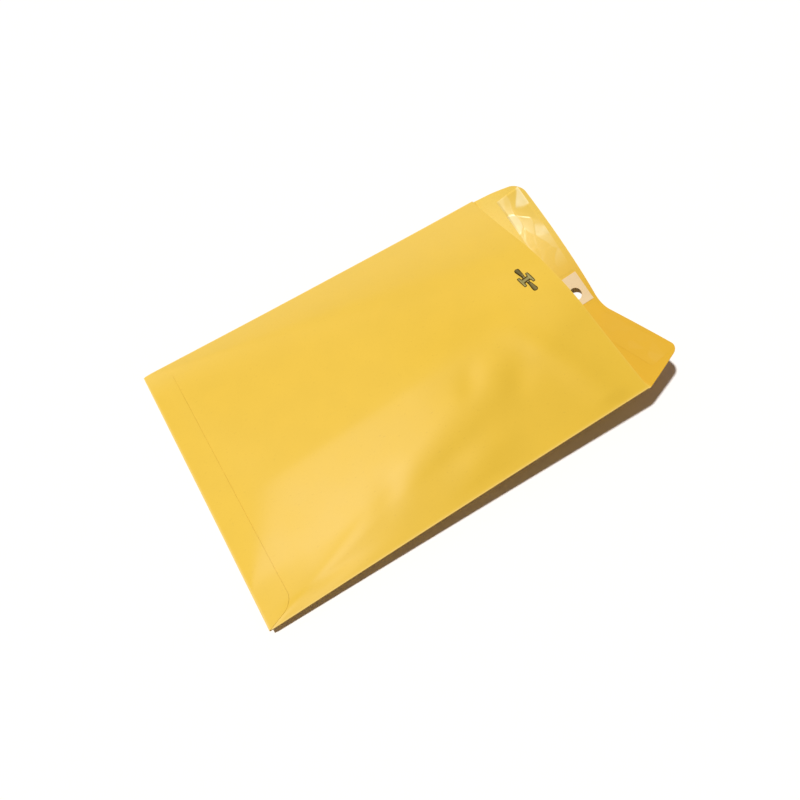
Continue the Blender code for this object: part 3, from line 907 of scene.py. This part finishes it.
@dataclass
class Pocket:
    """The pocket: two panels, the side seam tucked inside the near edge, and the bottom seam."""

    sheet: BentSheet
    wear: Wear = Wear()
    # Rows and columns of each piece's grid.
    back_grid: tuple[int, int] = (110, 150)
    front_grid: tuple[int, int] = (150, 190)
    side_grid: tuple[int, int] = (110, 14)
    bottom_grid: tuple[int, int] = (40, 170)
    # The folds and the seams.
    fold_bulge: float = 0.0005
    side_fold_tuck: float = 0.0004
    fold_steps: int = 9
    front_start: float = 0.003
    bottom_seam: Lapel = Lapel(depth=0.0202, taper=0.0075, corner=0.008)
    bottom_seam_start: float = 0.0004
    bottom_seam_gap: float = 0.00003
    bottom_fold_start: float = 0.0001
    side_seam_width: float = 0.018
    side_seam_margin: float = 0.006
    side_seam_taper: float = 0.012
    # Wear at the throat, painted sheen along the far edge, and the dents, which fade out at the panel's
    # edges.
    worn_throat: float = 0.15
    far_sheen_strength: float = 0.40
    far_sheen_reach: float = 0.015
    far_sheen_growth: float = 0.22
    dent_margin: float = 0.012
    dent_start: float = 0.045
    # For each dent: along, across, length, breadth, turn in degrees and height.
    dents: tuple[Dent, ...] = (
        Dent(0.044, -0.099, 0.050, 0.018, 22.0, -0.0022),
        Dent(0.108, -0.080, 0.017, 0.010, 30.0, -0.0012),
        Dent(0.198, -0.044, 0.014, 0.008, 40.0, -0.0010),
        Dent(0.230, -0.058, 0.016, 0.011, 40.0, -0.0013),
        Dent(0.174, -0.094, 0.024, 0.012, 10.0, 0.0014),
        Dent(0.266, -0.078, 0.011, 0.045, 23.0, 0.0020),
        Dent(0.220, -0.018, 0.050, 0.014, 0.0, 0.0010),
    )

    def far_painted_sheen(self, across: Array, along: Array) -> Array:
        """Return the painted sheen along the front's far edge, as paleness: a bell that widens toward the
        mouth.
        """
        reach = self.far_sheen_reach + self.far_sheen_growth * along
        return self.far_sheen_strength * np.exp(-(((self.sheet.half - across) / reach) ** 2))

    def back_middle(self, across: Array, along: Array) -> Array:
        """Return points in the middle of the back panel's paper."""
        return raised(self.sheet.back, self.sheet.paper / 2)(across, along)

    def dented_front(self, across: Array, along: Array) -> Array:
        """Return points on the front panel's underside, with its dents, which fade out at its edges."""
        sheet = self.sheet
        inside = smooth_step((sheet.half - np.abs(across)) / self.dent_margin)
        inside = inside * smooth_step(along / self.dent_start)
        inside = inside * smooth_step((sheet.throat(across) - along) / self.dent_margin)
        relief = inside * sum((dent.relief(across, along) for dent in self.dents), 0 * along)
        return sheet.front(across, along) + relief[..., None] * normals_of(sheet.front, across, along)

    def front_layer(self, height: float) -> Surface:
        """Return a layer of paper that follows the front panel, a height above its underside."""
        return raised(self.dented_front, height)

    def back_panel(self, finish: bpy.types.Material) -> None:
        """Make the back panel: a grid from the closed end to the score."""
        sheet = self.sheet
        rows, columns = self.back_grid
        along, across = lattice(
            np.linspace(0, sheet.length, rows), np.linspace(-sheet.half, sheet.half, columns)
        )
        wear_and_painted_light = self.wear.near(sheet.half - np.abs(across)) + self.wear.near(along)
        wear_and_painted_light = np.minimum(wear_and_painted_light + self.wear.score * self.wear.near(sheet.length - along), 1)
        grid = self.back_middle(across, along)
        flat = np.stack([across, along], -1)
        piece = sheet_object("back_panel_paper", grid, sheet.drawn_paper, flat, {"wear_and_painted_light": wear_and_painted_light})
        settle(piece, Body.POCKET, finish, "back_panel")

    def front_panel(self, finish: bpy.types.Material) -> None:
        """Make the front panel: a grid from the bottom fold to the throat, and the far edge's fold."""
        sheet = self.sheet
        rows, columns = self.front_grid
        share, across = lattice(
            np.linspace(self.front_start, 1, rows), np.linspace(-sheet.half, sheet.half, columns)
        )
        along = share * sheet.throat(across)
        grid = self.front_layer(sheet.paper / 2)(across, along)
        edge = along[:, -1]
        lower = self.back_middle(0 * edge + sheet.half, edge)
        fold = half_turn(grid[:, -1], lower, FARWARD, self.fold_bulge, self.fold_steps, to_lower=True)
        extra = np.arange(1, self.fold_steps + 1) * self.fold_bulge / 2
        fold_across = np.broadcast_to(sheet.half + extra, fold.shape[:2])
        fold_along = np.broadcast_to(edge[:, None], fold.shape[:2])
        flat = np.stack([np.hstack([across, fold_across]), np.hstack([along, fold_along])], -1)
        # Paler at the folds, along the throat, and along the far edge by painted sheen.
        wear_and_painted_light = np.maximum(self.wear.near(sheet.half - np.abs(across)), self.far_painted_sheen(across, along))
        wear_and_painted_light = np.maximum(wear_and_painted_light, self.worn_throat * self.wear.near(sheet.throat(across) - along))
        wear_and_painted_light = np.hstack([wear_and_painted_light, np.ones(fold.shape[:2])])
        middle = np.concatenate([grid, fold], axis=1)
        piece = sheet_object("front_panel_paper", middle, sheet.drawn_paper, flat, {"wear_and_painted_light": wear_and_painted_light})
        settle(piece, Body.POCKET, finish, "front_panel")

    def side_seam(self, finish: bpy.types.Material) -> None:
        """Make the side seam: the near edge's fold, pressed in, and the glue flap under the front panel."""
        sheet = self.sheet
        rows, columns = self.side_grid
        share, inward = lattice(np.linspace(0, 1, rows), np.linspace(0, 1, columns))
        start = self.side_seam_margin + self.side_seam_taper * inward
        stop = sheet.length - sheet.throat_setback - self.side_seam_margin - self.side_seam_taper * inward
        along = start + (stop - start) * share
        across = -sheet.half + self.side_seam_width * inward
        grid = self.front_layer(sheet.paper / 2 - sheet.layer)(across, along)
        edge = along[:, 0]
        lower = self.back_middle(0 * edge - sheet.half, edge)
        fold = half_turn(grid[:, 0], lower, FARWARD, self.side_fold_tuck, self.fold_steps, to_lower=False)
        extra = np.arange(self.fold_steps, 0, -1) * self.side_fold_tuck
        fold_across = np.broadcast_to(-sheet.half - extra, fold.shape[:2])
        fold_along = np.broadcast_to(edge[:, None], fold.shape[:2])
        flat = np.stack([np.hstack([fold_across, across]), np.hstack([fold_along, along])], -1)
        wear_and_painted_light = np.hstack([np.ones(fold.shape[:2]), self.wear.near(across + sheet.half)])
        middle = np.concatenate([fold, grid], axis=1)
        piece = sheet_object("side_seam_paper", middle, sheet.drawn_paper, flat, {"wear_and_painted_light": wear_and_painted_light})
        settle(piece, Body.POCKET, finish, "side_seam_flap")

    def bottom_seam_flap(self, finish: bpy.types.Material) -> None:
        """Make the bottom seam: the closed end's fold, and the glue flap on top of the front panel."""
        sheet = self.sheet
        rows, columns = self.bottom_grid
        share, side = lattice(np.linspace(0, 1, rows), np.linspace(-1, 1, columns))
        along = self.bottom_seam.distance(share, self.bottom_seam_start)
        across = side * (sheet.half - self.bottom_seam.inset(along))
        clearance = sheet.paper + sheet.drawn_paper / 2 + self.bottom_seam_gap
        grid = self.front_layer(clearance)(across, along)
        edge = across[0]
        lower = self.back_middle(edge, 0 * edge + self.bottom_fold_start)
        fold = half_turn(grid[0], lower, -FORWARD, self.fold_bulge, self.fold_steps, to_lower=False)
        fold = fold.transpose(1, 0, 2)
        extra = np.arange(self.fold_steps, 0, -1) * self.fold_bulge / 2
        fold_along = np.broadcast_to(-extra[:, None], fold.shape[:2])
        fold_across = np.broadcast_to(edge, fold.shape[:2])
        flat = np.stack([np.vstack([fold_across, across]), np.vstack([fold_along, along])], -1)
        # Paler at the fold, and along the far edge by painted sheen.
        wear_and_painted_light = np.maximum(self.wear.near(along), self.far_painted_sheen(across, along))
        wear_and_painted_light = np.vstack([np.ones(fold.shape[:2]), wear_and_painted_light])
        middle = np.concatenate([fold, grid], axis=0)
        piece = sheet_object("bottom_seam_paper", middle, sheet.drawn_paper, flat, {"wear_and_painted_light": wear_and_painted_light})
        settle(piece, Body.POCKET, finish, "bottom_seam_flap")

    def build(self) -> None:
        """Make and dress every piece of the pocket."""
        finish = MANILA.make()
        self.back_panel(finish)
        self.front_panel(finish)
        self.side_seam(finish)
        self.bottom_seam_flap(finish)


@dataclass
class ClosureFlap:
    """The closure flap with its hole, the pale patch round the hole, and two strips of dried gum."""

    sheet: BentSheet
    wear: Wear = Wear()
    # Rows and columns of each piece's grid; the flap's columns are closer together near the keel.
    flap_grid: tuple[int, int] = (64, 190)
    patch_grid: tuple[int, int] = (36, 44)
    gum_grid: tuple[int, int] = (60, 210)
    column_power: float = 1.3
    # The flap: its outer edge's blunt point, its bend at the score, and the painted light that makes its far
    # end paler.
    edge_peak: float = 0.0023
    edge_peak_across: float = -0.0036
    edge_fall: float = 0.034
    edge_round: float = 0.012
    bend_reach: float = 0.010
    painted_light: float = 0.94
    painted_light_from: float = -0.035
    painted_light_over: float = 0.115
    # The hole and its patch, whose paper is thinner.
    clasp_to_score: float = 0.0260
    hole_radius: float = 0.00525
    patch_across: float = 0.0266
    patch_along: float = 0.0209
    patch_shift: float = 0.0025
    patch_turn_deg: float = -4.0
    patch_gap: float = 0.00002
    patch_thinness: float = 0.8
    # The gum, and the facets that it has puckered into; their milkiness is partly painted highlight, and the
    # near strip is kept almost bare, so it carries almost none.
    film: float = 0.00006
    gum_depth: float = 0.0205
    gum_edge_margin: float = 0.0035
    gum_end_margin: float = 0.0019
    gum_to_patch: float = 0.0025
    gum_rise: float = 0.0003
    gum_rim: float = 0.0012
    far_gum: float = 1.0
    near_gum: float = 0.03
    far_seed: int = 1514
    near_seed: int = 23
    facet_count: int = 30
    facet_slope: float = 0.042
    facet_blur: float = 0.0015
    facet_contrast: float = 5.5
    facet_warp: float = 0.0013
    facet_wave: float = 0.0042
    facet_stretch: float = 1.7

    def stretch(self, across: Array) -> Array:
        """Return the flap's depth as a share of its mean: its outer edge is a blunt, rounded point."""
        away = np.hypot(across - self.edge_peak_across, self.edge_round) - self.edge_round
        return 1 + (self.edge_peak - self.edge_fall * away) / self.sheet.flap_depth

    def painted_far_light(self, across: Array) -> Array:
        """Return how pale painted light makes the flap: more toward its far end."""
        return self.painted_light * smooth_step((across - self.painted_light_from) / self.painted_light_over)

    def flap_paper(self, finish: bpy.types.Material) -> None:
        """Make the flap: a grid from the score to the outer edge, which bends close to the score."""
        sheet = self.sheet
        far_outline = Lapel(sheet.flap_depth, sheet.flap_taper, sheet.flap_far_corner)
        near_outline = Lapel(sheet.flap_depth, sheet.flap_taper, sheet.flap_near_corner)
        rows, columns = self.flap_grid
        share, side = lattice(np.linspace(0, 1, rows), np.linspace(-1, 1, columns))
        beyond = far_outline.distance(share, PROBE)
        inset = np.where(side > 0, far_outline.inset(beyond), near_outline.inset(beyond))
        reach = sheet.half - inset - np.sign(side) * sheet.keel
        across = sheet.keel + np.sign(side) * reach * np.abs(side) ** self.column_power
        beyond = beyond * self.stretch(across)
        grid = raised(sheet.flap, sheet.paper / 2)(across, beyond)
        # Paler at the score, and toward the far end by painted light.
        wear_and_painted_light = np.maximum(self.wear.score * self.wear.near(beyond), self.painted_far_light(across))
        flat = np.stack([across, beyond + sheet.length], -1)
        piece = sheet_object("closure_flap_paper", grid, sheet.drawn_paper, flat, {"wear_and_painted_light": wear_and_painted_light})
        self.cut_clasp_hole(piece)
        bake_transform(piece)
        dress(piece, finish, "closure_flap")

    def cut_clasp_hole(self, piece: bpy.types.Object) -> None:
        """Cut the clasp's hole through a layer of the flap, square to the paper."""
        here = np.array(0.0), np.array(self.clasp_to_score)
        centre = Vector(self.sheet.flap(*here))
        axis = Vector(normals_of(self.sheet.flap, *here))
        cut_hole(piece, centre, axis, self.hole_radius)

    def patch(self, finish: bpy.types.Material) -> None:
        """Make the patch: a rectangle that was set on a little askew, on the flap's inner face."""
        sheet = self.sheet
        rows, columns = self.patch_grid
        outward, sideways = lattice(
            np.linspace(-0.5, 0.5, rows) * self.patch_along,
            np.linspace(-0.5, 0.5, columns) * self.patch_across,
        )
        turn = math.radians(self.patch_turn_deg)
        across = self.patch_shift + sideways * math.cos(turn) - outward * math.sin(turn)
        beyond = self.clasp_to_score + sideways * math.sin(turn) + outward * math.cos(turn)
        grid = raised(sheet.flap, sheet.paper + sheet.drawn_paper / 2 + self.patch_gap)(across, beyond)
        flat = np.stack([across, beyond], -1)
        thickness = sheet.drawn_paper * self.patch_thinness
        piece = sheet_object("hole_patch_paper", grid, thickness, flat, {"wear_and_painted_light": np.zeros(across.shape)})
        self.cut_clasp_hole(piece)
        settle(piece, Body.FLAP, finish, "hole_patch")

    def facets(self, across: Array, beyond: Array, seed: int) -> tuple[Array, Array]:
        """Pucker a film into tilted facets round scattered seeds, blended at their borders.

        Each facet is a plane through its seed, with a milkiness of its own, which is partly painted
        highlight. A point takes the facets of the seeds near it, weighted by exp(-(distance^2 -
        nearest^2)/blur^2). Distances are stretched across the sheet, and sine waves sway the places first,
        so that no border is straight.

        Args:
            across: places across the sheet.
            beyond: places beyond the score.
            seed: the seed of the scatter.

        Returns:
            The relief and the milkiness, partly painted highlight, from 0 to 1, at each place.
        """
        chance = np.random.default_rng(seed)
        count = self.facet_count
        across_seeds = chance.uniform(across.min(), across.max(), count)
        beyond_seeds = chance.uniform(beyond.min(), beyond.max(), count)
        slopes = chance.normal(0.0, self.facet_slope, (2, count))
        tones = chance.uniform(0.0, 1.0, count) ** self.facet_contrast
        sway = np.sin(beyond / self.facet_wave + np.cos(across / self.facet_wave))
        swayed = across + self.facet_warp * sway
        bowed = beyond + self.facet_warp * np.sin(across / self.facet_wave)
        sideways = (swayed[..., None] - across_seeds) / self.facet_stretch
        apart = np.stack([sideways, bowed[..., None] - beyond_seeds])
        distance = (apart**2).sum(axis=0)
        nearest = distance.min(axis=-1, keepdims=True)
        weight = np.exp((nearest - distance) / self.facet_blur**2)
        weight = weight / weight.sum(axis=-1, keepdims=True)
        plane = (apart * slopes[:, None, None, :]).sum(axis=0)
        return (weight * plane).sum(axis=-1), (weight * tones).sum(axis=-1)

    def gum_strip(
        self, name: str, node: str, direction: int, thickness: float, seed: int, finish: bpy.types.Material
    ) -> None:
        """Make one strip of gum between the patch and the flap's end, on the flap's inner face.

        Args:
            name: the piece's name.
            node: the CAD node that it stands for.
            direction: 1 for the far strip and -1 for the near one.
            thickness: how thick the gum is at the flap's end, from 0 to 1; it thins out toward the patch.
            seed: the seed of its facets.
            finish: the gum's material.
        """
        sheet = self.sheet
        first = self.patch_across / 2 + direction * self.patch_shift + self.gum_to_patch
        last = sheet.half - sheet.flap_taper - self.gum_end_margin
        outer = sheet.flap_depth - self.gum_edge_margin
        rows, columns = self.gum_grid
        beyond, across = lattice(
            np.linspace(outer - self.gum_depth, outer, rows),
            np.linspace(first, last, columns)[::direction] * direction,
        )
        border = np.minimum(
            np.minimum(beyond - beyond.min(), beyond.max() - beyond),
            np.minimum(across - across.min(), across.max() - across),
        )
        settled = np.clip(border / self.gum_rim, 0, 1)
        thick = thickness * smooth_step((np.abs(across) - first) / (last - first))
        relief, tone = self.facets(across, beyond, seed)
        height = np.maximum(self.gum_rise + relief, 0.0) * settled * thick
        lift = sheet.paper + self.film + height
        normal = normals_of(sheet.flap, across, beyond)
        grid = sheet.flap(across, beyond) + lift[..., None] * normal
        flat = np.stack([across, beyond], -1)
        numbers = {"thick": thick, "milk_and_highlight": thick * tone, "wear_and_painted_light": self.painted_far_light(across)}
        piece = sheet_object(name, grid, self.film, flat, numbers)
        settle(piece, Body.FLAP, finish, node)

    def build(self) -> None:
        """Make and dress every piece of the flap."""
        self.flap_paper(FLAP_MANILA_SHADED.make())
        self.patch(PATCH_TAN.make())
        gum = GUM.make()
        self.gum_strip("gum_film_far", "gum_strip_far", 1, self.far_gum, self.far_seed, gum)
        self.gum_strip("gum_film_near", "gum_strip_near", -1, self.near_gum, self.near_seed, gum)


@dataclass
class Clasp:
    """The stamped clasp: an H-shaped base with clinched teeth, and two spoon-shaped prongs."""

    sheet: BentSheet
    shift: float = 0.0012
    to_score: float = 0.0260
    turn_deg: float = 3.0
    metal: float = 0.0004
    level: float = 0.00036
    root_level: float = 0.00024
    # Points across a strip, and along each kind of strip.
    columns: int = 13
    bar_rows: int = 31
    stem_rows: int = 13
    ear_rows: int = 7
    tooth_rows: int = 15
    prong_rows: int = 40
    # The bars: the share of each that turns down, and how it narrows, flattens and takes painted shade
    # toward its ends.
    bar_length: float = 0.0095
    bar_width: float = 0.0023
    bar_spacing: float = 0.0076
    bar_dome: float = 0.00012
    bar_turned: float = 0.18
    bar_drop: float = 0.0005
    bar_narrowing: float = 0.25
    bar_narrowing_power: int = 6
    bar_flattening: float = 0.6
    bar_flattening_power: int = 4
    bar_end_shade_power: int = 8
    # The stem and the ears.
    stem_width: float = 0.0046
    stem_waist: float = 0.18
    stem_dome: float = 0.00006
    ear_gap: float = 0.0003
    # The teeth: the share of each that turns inward, and the share that narrows to its point.
    tooth_width: float = 0.0008
    tooth_reach: float = 0.0026
    tooth_turned: float = 0.35
    tooth_radius: float = 0.0003
    tooth_depth: float = 0.0003
    tooth_pointed: float = 0.5
    tooth_narrowing: float = 0.75
    # The prongs, with the least painted shade that covers each.
    prong_span: float = 0.0243
    prong_root: float = 0.0024
    prong_tip: float = 0.0040
    prong_tip_power: float = 2.6
    prong_tip_end: float = 0.995
    prong_neck: float = 0.0015
    prong_axis: float = 0.0028
    prong_heel: float = 0.00015
    prong_climb: float = 0.0022
    prong_dome: float = 0.00010
    neck_dome: float = 0.00025
    prong_least_shade: float = 0.54
    far_arch: float = 0.0009
    near_arch: float = 0.0005

    @cached_property
    def seat(self) -> Matrix:
        """The clasp's place on the front panel: X along the sheet, Z square to it."""
        surface = raised(self.sheet.front, self.sheet.paper)
        here = np.array(self.shift), np.array(self.sheet.length - self.to_score)
        upward = Vector(normals_of(surface, *here))
        forward = Vector(surface(here[0], here[1] + PROBE) - surface(*here)).normalized()
        matrix = Matrix((forward, upward.cross(forward), upward)).transposed().to_4x4()
        matrix.translation = Vector(surface(*here))
        return matrix @ Matrix.Rotation(math.radians(self.turn_deg), 4, "Z")

    @cached_property
    def section(self) -> Array:
        """The places across a strip, from -1 to 1."""
        return np.linspace(-1, 1, self.columns)

    def ribbon(self, centre: Array, side: Array, half_width: Array, dome: Array, edge: Array) -> Ribbon:
        """Carry a domed strip along a path, in the clasp's own frame.

        Each section is centre + side times v times half the width, and raised by dome times (1 - v^2).

        Args:
            centre: the path's points.
            side: the strip's direction across, a vector for the whole path.
            half_width: half of the strip's width at each point.
            dome: how far the strip's middle stands above its edges, at each point.
            edge: how much painted shade each point of the strip has, from 0 to 1, mostly near its cut edges.

        Returns:
            The points, the quads, the flat places and the painted shade.
        """
        across = self.section
        step = np.gradient(centre, axis=0)
        upward = np.cross(step, side)
        upward /= np.linalg.norm(upward, axis=-1, keepdims=True)
        grid = centre[:, None] + side * (half_width[:, None] * across)[..., None]
        grid = grid + upward[:, None] * (dome[:, None] * (1 - across**2))[..., None]
        points, quads = shell_arrays(grid, self.metal)
        length = np.concatenate([[0.0], np.cumsum(np.linalg.norm(np.diff(centre, axis=0), axis=-1))])
        flat = np.stack(np.broadcast_arrays(half_width[:, None] * across, length[:, None]), -1)
        painted_shade = np.broadcast_to(edge, grid.shape[:2])
        return points, quads, np.tile(flat.reshape(-1, 2), (2, 1)), np.tile(painted_shade.ravel(), 2)

    def assemble(self, name: str, ribbons: list[Ribbon]) -> bpy.types.Object:
        """Put strips together as one piece, set on the clasp's seat."""
        starts = np.cumsum([0] + [len(points) for points, *_ in ribbons[:-1]])
        points = np.concatenate([ribbon[0] for ribbon in ribbons])
        quads = np.concatenate([ribbon[1] + start for ribbon, start in zip(ribbons, starts)])
        flat = np.concatenate([ribbon[2] for ribbon in ribbons])
        edge = np.concatenate([ribbon[3] for ribbon in ribbons])
        seat = np.array(self.seat)
        return mesh_object(name, points @ seat[:3, :3].T + seat[:3, 3], quads, flat, {"edge": edge})

    def bar(self, along: float) -> Ribbon:
        """Return one bar: a flat strip across the sheet that the stem runs into, with turned-down ends.

        Its ends drop with the square of the way round them, and powers of the place along it narrow and
        flatten it and darken its ends with painted shade. Its sides carry painted shade too, but none shows
        where the stem runs in.
        """
        place = np.linspace(-1, 1, self.bar_rows)
        outward = np.abs(place)
        turned = np.clip((outward - 1 + self.bar_turned) / self.bar_turned, 0, 1)
        level = self.level - self.bar_drop * turned**2
        centre = np.stack([0 * place + along, -place * self.bar_length / 2, level], -1)
        width = self.bar_width / 2 * (1 - self.bar_narrowing * outward**self.bar_narrowing_power)
        dome = self.bar_dome * (1 - self.bar_flattening * outward**self.bar_flattening_power)
        to_stem = smooth_step((self.stem_width - outward * self.bar_length) / self.bar_width)
        inward = smooth_step(-2 * np.sign(along) * self.section)
        # Painted shade at the sides and the turned-down ends, but not where the stem runs in.
        edge = np.maximum(np.abs(self.section), outward[:, None] ** self.bar_end_shade_power)
        edge = edge * (1 - to_stem[:, None] * inward)
        return self.ribbon(centre, FORWARD, width, dome, edge)

    def stem(self) -> Ribbon:
        """Return the stem: a wide, nearly flat strip with hollow sides between the two bars."""
        place = np.linspace(-0.5, 0.5, self.stem_rows)
        centre = np.stack([place * self.bar_spacing, 0 * place, 0 * place + self.level], -1)
        width = self.stem_width / 2 * (1 - self.stem_waist * np.cos(place * math.pi) ** 2)
        return self.ribbon(centre, FARWARD, width, 0 * place + self.stem_dome, np.abs(self.section))

    def ear(self, direction: int) -> Ribbon:
        """Return the short ear that joins a prong to the stem and stops just before the bend's axis."""
        share = np.linspace(0, 1, self.ear_rows)
        start = self.stem_width / 2 * (1 - 2 * self.stem_waist)
        reach = start + (self.prong_axis - self.ear_gap - start) * share
        level = self.level + (self.root_level - self.level) * share
        centre = np.stack([0 * reach, direction * reach, level], -1)
        width = 0 * share + self.prong_root / 2
        return self.ribbon(centre, direction * FORWARD, width, 0 * share, np.abs(self.section))

    def tooth(self, along: float, direction: int) -> Ribbon:
        """Return one tooth: down through the paper at a bar's end, and bent in under it to a point.

        Args:
            along: the bar's place along the clasp.
            direction: 1 for the far end of the bar and -1 for the near one.

        Returns:
            The strip.
        """
        share = np.linspace(0, 1, self.tooth_rows)
        turn = np.clip(share / self.tooth_turned, 0, 1) * math.pi / 2
        clinched = np.clip((share - self.tooth_turned) / (1 - self.tooth_turned), 0, 1)
        start = self.bar_length / 2 - self.tooth_width
        inward = start + self.tooth_radius * (1 - np.sin(turn)) - self.tooth_reach * clinched
        under = -(self.sheet.paper + self.tooth_depth)
        level = self.metal + (under - self.metal) * np.sin(turn)
        centre = np.stack([0 * share + along, direction * inward, level], -1)
        pointed = np.clip((share - 1 + self.tooth_pointed) / self.tooth_pointed, 0, 1)
        width = self.tooth_width / 2 * (1 - self.tooth_narrowing * pointed**2)
        return self.ribbon(centre, FORWARD, width, 0 * share, np.abs(self.section))

    def prong(self, direction: int, arch: float) -> Ribbon:
        """Return one prong: a neck that climbs from its bend's axis, and a blade that sinks to a round tip.

        The level rises by a smooth cubic over the climb, and falls in a straight line to the tip. Painted
        shade darkens the whole prong a little, more at its sides and most at its tip.

        Args:
            direction: 1 for the far prong and -1 for the near one.
            arch: how high it climbs.

        Returns:
            The strip.
        """
        root = self.prong_axis - self.prong_heel
        length = self.prong_span / 2 - root
        share = np.sin(np.linspace(0, math.pi / 2, self.prong_rows))
        reach = share * length
        climb = smooth_step(reach / self.prong_climb)
        level = self.root_level + arch * climb * (1 - reach / length)
        centre = np.stack([0 * reach, direction * (root + reach), level], -1)
        tip = self.prong_tip / 2
        widening = np.clip((reach - self.prong_neck) / (length - tip - self.prong_neck), 0, 1)
        blade = self.prong_root / 2 + (tip - self.prong_root / 2) * widening
        past = np.clip((reach - (length - tip)) / tip, 0, self.prong_tip_end)
        width = blade * (1 - past**self.prong_tip_power) ** (1 / self.prong_tip_power)
        dome = self.prong_dome + self.neck_dome * (1 - climb)
        # Painted shade: a floor over the whole prong, more at its sides, most at its tip.
        edge = np.maximum(np.maximum(np.abs(self.section), self.prong_least_shade), past[:, None] ** 2)
        return self.ribbon(centre, direction * FORWARD, width, dome, edge)

    def build(self) -> None:
        """Make and dress the clasp's base and prongs."""
        finish = CLASP_BRONZE.make()
        half = self.bar_spacing / 2
        ears = [self.ear(direction) for direction in (-1, 1)]
        teeth = [self.tooth(along, direction) for along in (-half, half) for direction in (-1, 1)]
        base = self.assemble("clasp_base", [self.bar(-half), self.bar(half), self.stem(), *ears, *teeth])
        settle(base, Body.POCKET, finish, "clasp_plate")
        far = self.assemble("clasp_spoon_far", [self.prong(1, self.far_arch)])
        settle(far, Body.PRONG_FAR, finish, "clasp_prong_far")
        near = self.assemble("clasp_spoon_near", [self.prong(-1, self.near_arch)])
        settle(near, Body.PRONG_NEAR, finish, "clasp_prong_near")


@dataclass(frozen=True)
class Viewpoint:
    """The photograph's camera: where it stands, what it looks at and how wide it sees."""

    azimuth_deg: float = -28.733
    elevation_deg: float = 57.526
    roll: float = -0.0537
    distance: float = 0.53068
    target: Triple = (-0.01410, -0.00920, 0.0)
    focal_pixels: float = 705.8
    frame_pixels: float = 800.0
    sensor_mm: float = 36.0
    clip_start: float = 0.01

    def build(self) -> None:
        """Make the camera and set it as the scene's."""
        azimuth = math.radians(self.azimuth_deg)
        elevation = math.radians(self.elevation_deg)
        level = math.cos(elevation)
        back = Vector((math.sin(azimuth) * level, -math.cos(azimuth) * level, math.sin(elevation)))
        right = Vector((0, 0, 1)).cross(back).normalized()
        upward = back.cross(right)
        turned = right * math.cos(self.roll) + upward * math.sin(self.roll)
        matrix = Matrix((turned, back.cross(turned), back)).transposed().to_4x4()
        matrix.translation = Vector(self.target) + back * self.distance
        data = bpy.data.cameras.new("photo_camera")
        data.sensor_width = self.sensor_mm
        data.lens = self.focal_pixels / self.frame_pixels * self.sensor_mm
        data.clip_start = self.clip_start
        camera = bpy.data.objects.new("photo_camera", data)
        bpy.context.scene.collection.objects.link(camera)
        camera.matrix_world = matrix
        bpy.context.scene.camera = camera


@dataclass(frozen=True)
class Studio:
    """A white floor, one lamp high over the closed end, and a soft white sky."""

    floor_size: float = 6.0
    floor_drop: float = 0.0002
    floor_seen: Colour = (0.98, 0.98, 0.98)
    floor_lighting: Colour = (0.50, 0.46, 0.42)
    floor_roughness: float = 0.9
    floor_specular: float = 0.1
    lamp_to: Triple = (0.345, -0.10, -1.0)
    lamp_strength: float = 3.12
    lamp_angle_deg: float = 4.0
    sky_seen: Colour = (1.0, 1.0, 1.0)
    sky_lighting: Colour = (0.176, 0.118, 0.082)

    def shown(self, graph: Graph) -> Flow:
        """Return 1 for rays that see a surface itself, and 0 for those that only gather its light."""
        path = graph.node("ShaderNodeLightPath")
        kinds = ("Camera", "Glossy", "Transmission")
        camera, glossy, clear = (Flow(graph, path.outputs[f"Is {kind} Ray"]) for kind in kinds)
        return graph.maths("MINIMUM", camera + glossy + clear, 1.0)

    def floor(self) -> None:
        """Make the floor just under the paper, as a stage: white to look at, dimmer in its light."""
        half = self.floor_size / 2
        outline = np.array([[-half, -half], [half, -half], [half, half], [-half, half]])
        points = np.column_stack([outline, np.full(len(outline), -self.floor_drop)])
        mesh = bpy.data.meshes.new("floor")
        mesh.from_pydata(points.tolist(), [], [[0, 1, 2, 3]])
        constants = {"Roughness": self.floor_roughness, "Specular IOR Level": self.floor_specular}
        material, graph, shader = new_material("floor_white", constants)
        colour = graph.mix(self.shown(graph), shade(self.floor_lighting), shade(self.floor_seen))
        graph.feed(shader.inputs["Base Color"], colour)
        mesh.materials.append(material)
        floor = bpy.data.objects.new("floor", mesh)
        bpy.context.scene.collection.objects.link(floor)

    def lamp(self) -> None:
        """Make the lamp, far enough off to throw parallel light."""
        data = bpy.data.lights.new("key_lamp", "SUN")
        data.energy = self.lamp_strength
        data.angle = math.radians(self.lamp_angle_deg)
        lamp = bpy.data.objects.new("key_lamp", data)
        lamp.rotation_euler = Vector(self.lamp_to).to_track_quat("-Z", "Y").to_euler()
        bpy.context.scene.collection.objects.link(lamp)

    def backdrop(self) -> None:
        """Make the sky: white where it is seen, mirrored or looked through, dimmer where it only lights."""
        world = bpy.data.worlds.new("studio_sky")
        bpy.context.scene.world = world
        world.use_nodes = True
        graph = Graph(world.node_tree)
        background = world.node_tree.nodes["Background"]
        colour = graph.mix(self.shown(graph), shade(self.sky_lighting), shade(self.sky_seen))
        graph.feed(background.inputs["Color"], colour)

    def build(self) -> None:
        """Make the floor, the lamp and the sky."""
        self.floor()
        self.lamp()
        self.backdrop()
        bpy.context.scene.view_settings.view_transform = "Standard"


def main() -> None:
    """Load the frame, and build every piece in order."""
    logging.basicConfig(level=logging.INFO, format="%(message)s")
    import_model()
    Viewpoint().build()
    Studio().build()
    sheet = BentSheet()
    Pocket(sheet).build()
    ClosureFlap(sheet).build()
    Clasp(sheet).build()


if __name__ == "__main__":
    main()
